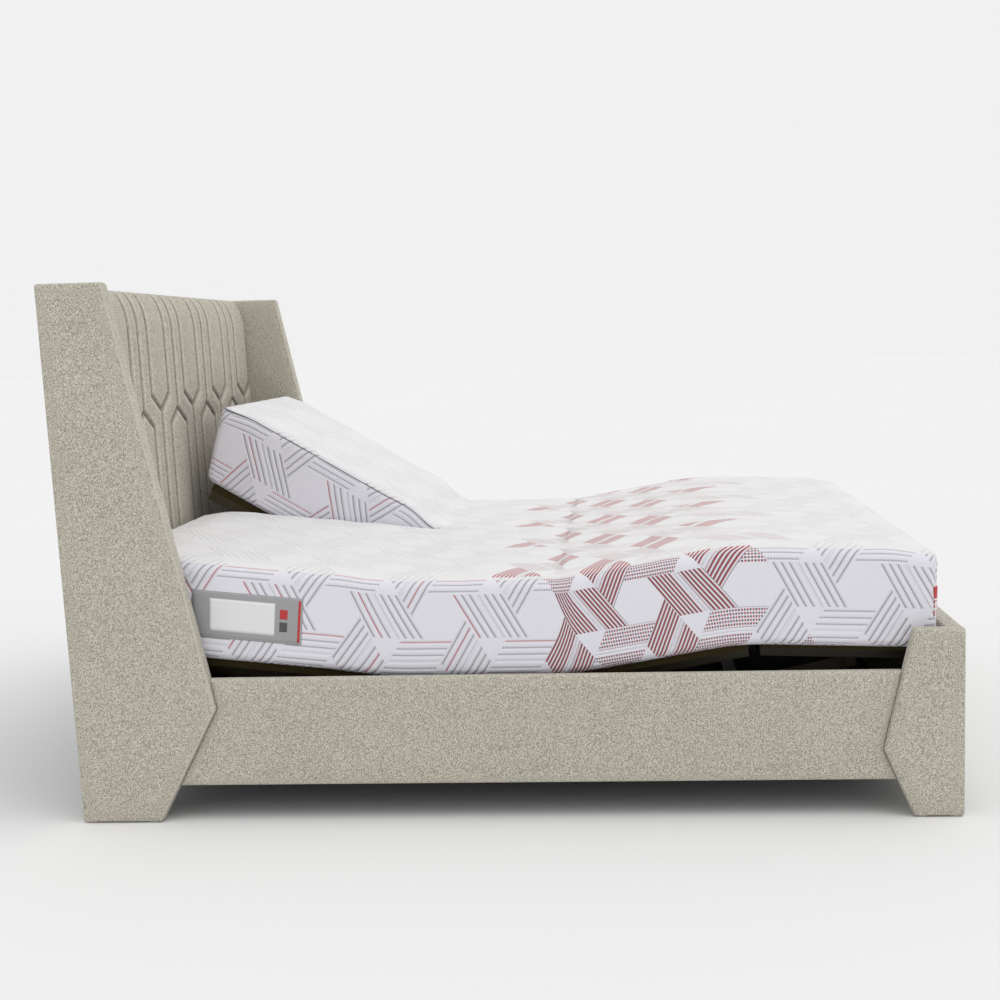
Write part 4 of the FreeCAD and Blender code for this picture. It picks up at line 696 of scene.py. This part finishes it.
def mattress_piece(name, x0, x1, y0, y1, round_foot, round_head, turn, inner_face=None):
    """A stretch of the mattress with soft edges, bent to its rest shape, with its cover's coordinates."""
    def closer(reach, count):
        """Steps that grow away from an edge."""
        return reach * np.linspace(0, 1, count) ** 1.5

    def rows_at(*parts):
        return np.unique(np.concatenate(parts))

    xs = rows_at(np.linspace(x0, x1, int((x1 - x0) / 0.02) + 2), x0 + closer(0.05, 8), x1 - closer(0.05, 8))
    ys = np.linspace(y0, y1, int((y1 - y0) / 0.016) + 2)
    if round_foot:
        ys = rows_at(ys, y0 + closer(0.06, 9))
    if round_head:
        ys = rows_at(ys, y1 - closer(0.06, 9))
    hs = rows_at(np.linspace(0, deep, 14), closer(0.04, 6), deep - closer(0.05, 8))
    points, faces, uvs, sides = [], [], [], []

    def sheet(first, second, make, side, coordinate):
        rows, columns = len(first), len(second)
        start = len(points)
        for a in first:
            for b in second:
                points.append(make(a, b))
                uvs.append(coordinate(a, b))
                sides.append(side)
        for i in range(rows - 1):
            for j in range(columns - 1):
                k = start + i * columns + j
                faces.append((k, k + 1, k + columns + 1, k + columns))

    sheet(xs, ys, lambda a, b: (a, b, deep), 0.0, lambda a, b: (b, a))
    sheet(xs, ys, lambda a, b: (a, b, 0.0), 1.0, lambda a, b: (b, a + 3))
    sheet(ys, hs, lambda a, b: (x0, a, b), 1.0, lambda a, b: (a, x0 - (deep - b)))
    sheet(ys, hs, lambda a, b: (x1, a, b), 1.0, lambda a, b: (a, x1 + (deep - b)))
    if round_foot:
        sheet(xs, hs, lambda a, b: (a, y0, b), 1.0, lambda a, b: (y0 - (deep - b), a))
    if round_head:
        sheet(xs, hs, lambda a, b: (a, y1, b), 1.0, lambda a, b: (y1 + (deep - b), a))
    p = np.array(points, float)
    radius = np.where(p[:, 2] > deep / 2, edge_top, edge_low)
    low = np.array([x0, y0, 0.0]) + 0 * p
    high = np.array([x1, y1, deep]) + 0 * p
    inset = np.stack([radius, np.minimum(radius, edge_end), radius], -1)
    if inner_face:
        slit = ease(p[:, 1], head_y - 0.01, head_y + 0.05)
        inner_radius = np.maximum(edge_low * slit, 1e-5)
    core_low, core_high = low + inset, high - inset
    if not round_foot:
        core_low[:, 1] = y0
    if not round_head:
        core_high[:, 1] = y1
    if inner_face == "high":
        core_high[:, 0] = x1 - inner_radius
    if inner_face == "low":
        core_low[:, 0] = x0 + inner_radius
    core = np.clip(p, core_low, core_high)
    away = p - core
    scale = np.maximum(np.where(away > 0, high - core_high, core_low - low), 1e-6)
    unit_away = away / scale
    length = np.linalg.norm(unit_away, axis=1)
    reach = np.max(np.abs(unit_away), axis=1)
    rounded = core + away * (reach / np.maximum(length, 1e-9))[:, None]
    p = np.where((length > 1e-9)[:, None], rounded, p)
    across = np.clip(np.abs(p[:, 0]) / bed_half, 0, 1)
    crown = 0.010 * (1 - across ** 4) * ease(p[:, 2], deep * 0.6, deep)
    ends = ease(p[:, 1], foot_end, foot_end + 0.12) * ease(-p[:, 1], -head_end, -head_end + 0.12)
    p[:, 2] += crown * ends - 0.012 * (1 - ends) * ease(p[:, 2], deep * 0.5, deep)
    ripple = np.sin(p[:, 1] * 52.0 + np.sin(p[:, 0] * 9.0))
    ripple = ripple * np.sin(p[:, 0] * 47.0 + 1.3 * np.sin(p[:, 1] * 7.0))
    p[:, 2] += 0.0012 * ripple * ease(p[:, 2], deep * 0.8, deep)
    placed = bent(p[:, 0], p[:, 1], p[:, 2], turn)
    mesh = bpy.data.meshes.new(name)
    mesh.from_pydata(placed.tolist(), [], faces)
    layer = mesh.uv_layers.new(name="cover")
    loop_points = np.zeros(len(mesh.loops), int)
    mesh.loops.foreach_get("vertex_index", loop_points)
    layer.data.foreach_set("uv", np.array(uvs)[loop_points].astype(np.float32).ravel())
    face_side = mesh.attributes.new("side_face", "FLOAT", "CORNER")
    face_side.data.foreach_set("value", np.array(sides, np.float32)[loop_points])
    shape = bmesh.new()
    shape.from_mesh(mesh)
    bmesh.ops.remove_doubles(shape, verts=shape.verts, dist=2e-5)
    bmesh.ops.recalc_face_normals(shape, faces=shape.faces)
    shape.faces.ensure_lookup_table()
    lookout = max(shape.faces, key=lambda f: f.calc_center_median().z)
    if lookout.normal.z < 0:
        bmesh.ops.reverse_faces(shape, faces=shape.faces)
    shape.to_mesh(mesh)
    shape.free()
    for face in mesh.polygons:
        face.use_smooth = True
    mesh.materials.append(cover_knit)
    piece = bpy.data.objects.new(name, mesh)
    bpy.context.scene.collection.objects.link(piece)
    return piece


mid_thigh = (thigh_y + knee_y) / 2.0
slit_y = head_y - 0.05
centre_pad = mattress_piece("mattress_centre", -bed_half, bed_half, mid_thigh, slit_y, False, False, 0.0)
foot_pad = mattress_piece("mattress_foot", -bed_half, bed_half, foot_end, mid_thigh, True, False, 0.0)
split_gap = 0.0015           # each head half stops this far from the middle
left_pad = mattress_piece(
    "mattress_head_left", -bed_half, -split_gap, slit_y, head_end, False, True, rest_turn["left"], "high",
)
right_pad = mattress_piece(
    "mattress_head_right", split_gap, bed_half, slit_y, head_end, False, True, rest_turn["right"], "low",
)
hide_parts("seat_mattress")
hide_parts("thigh_mattress", "foot_mattress")
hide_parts("head_mattress_left")
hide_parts("head_mattress_right")
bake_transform(centre_pad)
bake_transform(foot_pad)
fold_high = {word: (0, head_y + fold_after, deck_z + up) for word, up in (("left", 0.02), ("right", 0.07))}
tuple(fold_high["left"])
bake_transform(left_pad)
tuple(fold_high["right"])
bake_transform(right_pad)


# Piping: a thin dark cord sewn along the upper edge of each inner split face, where the two head
# halves part. It follows the rest shape of its own half.
piping_cord, shader, add, place = new_finish("dark_piping", 0.8, 0.3)
twist = add("ShaderNodeTexWave", {"Vector": place, "Scale": 160.0})
tone = tones(add, twist, (0.10, 0.098, 0.11, 1), (0.22, 0.21, 0.23, 1))
piping_cord.node_tree.links.new(tone, shader.inputs["Base Color"])
run_y = np.linspace(head_y + 0.03, head_end - 0.012, 90)
drop = 0.010 + 0.012 * ease(run_y, head_end - 0.12, head_end)
links = [(i, i + 1) for i in range(len(run_y) - 1)]
for word, side in (("left", -1.0), ("right", 1.0)):
    line = bent(np.full(len(run_y), side * 0.0065), run_y, deep - drop + 0.004, rest_turn[word])
    cord = grown("split_piping_" + word, (line, links), cord_along, {"Radius": 0.0022}, piping_cord, None)
    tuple(fold_high[word])
    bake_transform(cord)


# Sewn label on the near side of the left head half: grey satin with a blank white field, two small
# squares and a red edge, held by a row of stitches. It carries no lettering.
label_low, label_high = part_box("mattress_label")


def on_side(y, h, proud):
    """A place on the near side of the mattress, h above the deck."""
    y, h = np.atleast_1d(np.asarray(y, float)), np.atleast_1d(np.asarray(h, float))
    return bent(np.full(y.shape, -bed_half - proud), y, h, rest_turn["left"])


def two_sided(rows, columns):
    """Faces of a thin patch: its front, its back and the edge between them."""
    at = np.arange(rows * columns).reshape(rows, columns)
    faces, behind, rim = quads_of(at), rows * columns, rim_of(at)
    faces += [[k + behind for k in face[::-1]] for face in faces]
    return faces + [(b, a, a + behind, b + behind) for a, b in zip(rim, rim[1:] + rim[:1])]


def side_patch(name, y0, y1, h0, h1, proud, material, columns=28, rows=12):
    """A thin patch of cloth that follows the near side of the mattress."""
    ys, hs = np.linspace(y0, y1, columns), np.linspace(h0, h1, rows)
    gy, gh = np.meshgrid(ys, hs)
    points = np.concatenate([on_side(gy.ravel(), gh.ravel(), out) for out in (proud, -0.0005)])
    piece = plain_mesh(name, points, two_sided(rows, columns), material)
    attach(piece, "head_left")
    return piece


def satin(name, dark, light, rough):
    """A woven label cloth with fine cross threads."""
    material, shader, add, place = new_finish(name, rough, 0.4)
    threads = add("ShaderNodeTexWave", {"Vector": place, "Scale": 220.0, "Distortion": 0.6}, bands_direction="Z")
    bump = add("ShaderNodeBump", {"Strength": 0.3, "Distance": 0.0002, "Height": threads})
    material.node_tree.links.new(tones(add, threads, dark + (1,), light + (1,)), shader.inputs["Base Color"])
    material.node_tree.links.new(bump, shader.inputs["Normal"])
    return material


grey_satin = satin("label_grey", (0.30, 0.30, 0.31), (0.37, 0.37, 0.38), 0.45)
white_satin = satin("label_white", (0.70, 0.70, 0.71), (0.82, 0.82, 0.82), 0.5)
red_satin = satin("label_red", (0.42, 0.03, 0.03), (0.55, 0.05, 0.05), 0.5)
label_y = (head_y + 0.270, head_y + 0.540)
label_h = (0.058, 0.176)
label = side_patch("mattress_side_label", *label_y, *label_h, 0.0010, grey_satin)
span = label_y[1] - label_y[0]
dark_satin = satin("label_dark", (0.06, 0.06, 0.065), (0.10, 0.10, 0.105), 0.5)
for name, y0, y1, h0, h1, material in (
    ("label_field", 0.25, 0.84, 0.018, 0.100, white_satin),
    ("label_red_square", 0.135, 0.205, 0.062, 0.086, red_satin),
    ("label_dark_square", 0.135, 0.205, 0.030, 0.054, dark_satin),
    ("label_red_edge", 0.018, 0.040, 0.006, 0.112, red_satin),
):
    across = (label_y[0] + span * y0, label_y[0] + span * y1)
    side_patch(name, *across, label_h[0] + h0, label_h[0] + h1, 0.0014, material)
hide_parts("mattress_label")


def stitches(add, given):
    """Short thread stitches laid along the seed line."""
    line = add("GeometryNodeMeshToCurve", (given["Geometry"],))
    spots = add("GeometryNodeCurveToPoints", {"Curve": line, "Length": given["Pitch"]}, mode="LENGTH")
    turn = spots.node.outputs["Rotation"]
    thread = add("GeometryNodeMeshCylinder", {"Vertices": 6, "Radius": given["Thread"], "Depth": given["Stitch"]})
    return add("GeometryNodeInstanceOnPoints", {"Points": spots, "Instance": thread, "Rotation": turn})


hem = 0.003                  # the stitches run this far inside the label's edge
y0, y1, h0, h1 = label_y[0] + hem, label_y[1] - hem, label_h[0] + hem, label_h[1] - hem
loop = [(y0, h0), (y1, h0), (y1, h1), (y0, h1), (y0, h0)]
track = []
for (ya, ha), (yb, hb) in zip(loop, loop[1:]):
    track += [(ya + (yb - ya) * t, ha + (hb - ha) * t) for t in np.linspace(0, 1, 30, endpoint=False)]
track.append(loop[-1])
line = on_side([p[0] for p in track], [p[1] for p in track], 0.0011)
label_stitches = grown(
    "label_stitches", (line, [(i, i + 1) for i in range(len(line) - 1)]), stitches,
    {"Pitch": 0.0045, "Thread": 0.0004, "Stitch": 0.003}, white_satin, "head_left",
)


# Small red tab with plain white bars: a folded piece of woven tape, sewn into the near corner seam
# of the cover at the foot end.
def corner_tab(name, h0, h1, proud, material):
    """A strip of woven tape that wraps the rounded corner of the mattress."""
    angles = np.linspace(0.55, 1.20, 9)
    hs = np.linspace(h0, h1, 8)
    ga, gh = np.meshgrid(angles, hs)
    points = []
    for reach in (proud, -0.001):
        x = -bed_half + edge_top - (edge_top + reach) * np.cos(ga.ravel())
        y = foot_end + edge_end - (edge_end + reach) * np.sin(ga.ravel())
        points.append(bent(x, y, gh.ravel(), 0.0))
    tab = plain_mesh(name, np.concatenate(points), two_sided(*ga.shape), material)
    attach(tab, "foot")


corner_tab("corner_tab", 0.080, 0.152, 0.0026, red_satin)
for k, (h0, h1) in enumerate(((0.119, 0.123), (0.108, 0.111), (0.094, 0.100))):
    corner_tab(f"corner_tab_bar_{k}", h0, h1, 0.0031, white_satin)


# Deck boards: one plywood board to each section of the bed, covered in dark brown felt and screwed
# to the frame below it.
deck_felt = cloth_finish("brown_felt", 700.0, (0.050, 0.036, 0.009), (0.024, 0.017, 0.004), 0.7, 0.0003, 0.0)


def dress(material, *names):
    """Gives CAD nodes their finish."""
    for name in names:
        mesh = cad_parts[name].data
        mesh.materials.clear()
        mesh.materials.append(material)


dress(deck_felt, "seat_board", "thigh_board", "foot_board", "head_board_left", "head_board_right")


# Steelwork: square tube frames welded and powder coated black, zinc plated brackets, pins and
# bolts, ground rods in the drives.
def coated_metal():
    """Fine orange-peel texture with worn, lighter spots, as a node group."""
    group, add, given = open_group(
        "coated_metal", ("Peel", "Float", 350.0), ("Coat", "Color", (0.02, 0.02, 0.022, 1)),
        ("Worn", "Color", (0.06, 0.06, 0.06, 1)),
    )
    peel = add("ShaderNodeTexNoise", {"Vector": given["Vector"], "Scale": given["Peel"], "Detail": 2.0})
    patches = {"Vector": given["Vector"], "Scale": 14.0, "Detail": 5.0, "Roughness": 0.7}
    wear = add("ShaderNodeTexNoise", patches)
    worn = add("ShaderNodeMapRange", (wear, 0.56, 0.72, 0.0, 0.6))
    colour = tones(add, worn, given["Coat"], given["Worn"])
    rough = add("ShaderNodeMapRange", (wear, 0.3, 0.7, 0.38, 0.55))
    return close_group(group, colour, peel, rough)


coat_group = coated_metal()


def hard_finish(name, coat, worn, peel, metallic, relief=0.0002):
    """A coated or bare hard surface from that group."""
    finish = new_finish(name, 0.45, 0.5, metallic)
    coats = {"Peel": peel, "Coat": coat + (1,), "Worn": worn + (1,)}
    return grouped(finish, coat_group, finish[3], 0.3, relief, coats)


powder_coat = hard_finish("powder_coat", (0.030, 0.021, 0.005), (0.042, 0.031, 0.010), 420.0, 0.0)
dress(
    powder_coat, "base_sides", "base_cross_tubes", "base_legs", "deck_posts", "seat_frame", "thigh_frame",
    "foot_frame", "head_frame_left", "head_frame_right", "foot_links", "lift_arm", "link_brackets",
    "lift_bearings", "drive_clevises", "head_guide_plates", "curved_rails_left", "curved_rails_right",
    "corner_brackets",
)
zinc_plate = hard_finish("zinc_plate", (0.45, 0.46, 0.47), (0.60, 0.60, 0.60), 180.0, 0.9)
dress(zinc_plate, "corner_bolts", "thigh_hinge_pins", "knee_pins", "lift_roller_pins", "electronics_plate")
ground_steel = hard_finish("ground_steel", (0.55, 0.55, 0.56), (0.66, 0.66, 0.66), 600.0, 1.0, 0.00005)
dress(ground_steel, "drive_rod_head_left", "drive_rod_head_right", "drive_rod_thigh")


# Moulded parts: black plastic drive housings and boxes, white nylon shoes, rollers and glides, and
# the rubber lead between the two boxes.
black_plastic = hard_finish("moulded_black", (0.018, 0.018, 0.019), (0.03, 0.03, 0.031), 700.0, 0.0, 0.0001)
dress(
    black_plastic, "drive_housing_head_left", "drive_housing_head_right", "drive_housing_thigh", "control_box",
    "power_supply", "mains_inlet", "leg_glides",
)
white_nylon = hard_finish("white_nylon", (0.72, 0.71, 0.68), (0.64, 0.63, 0.60), 240.0, 0.0, 0.0001)
dress(white_nylon, "head_guide_shoes", "lift_rollers", "floor_glides")
lead_rubber = hard_finish("lead_rubber", (0.012, 0.012, 0.012), (0.02, 0.02, 0.02), 900.0, 0.0, 0.0001)
dress(lead_rubber, "power_lead")
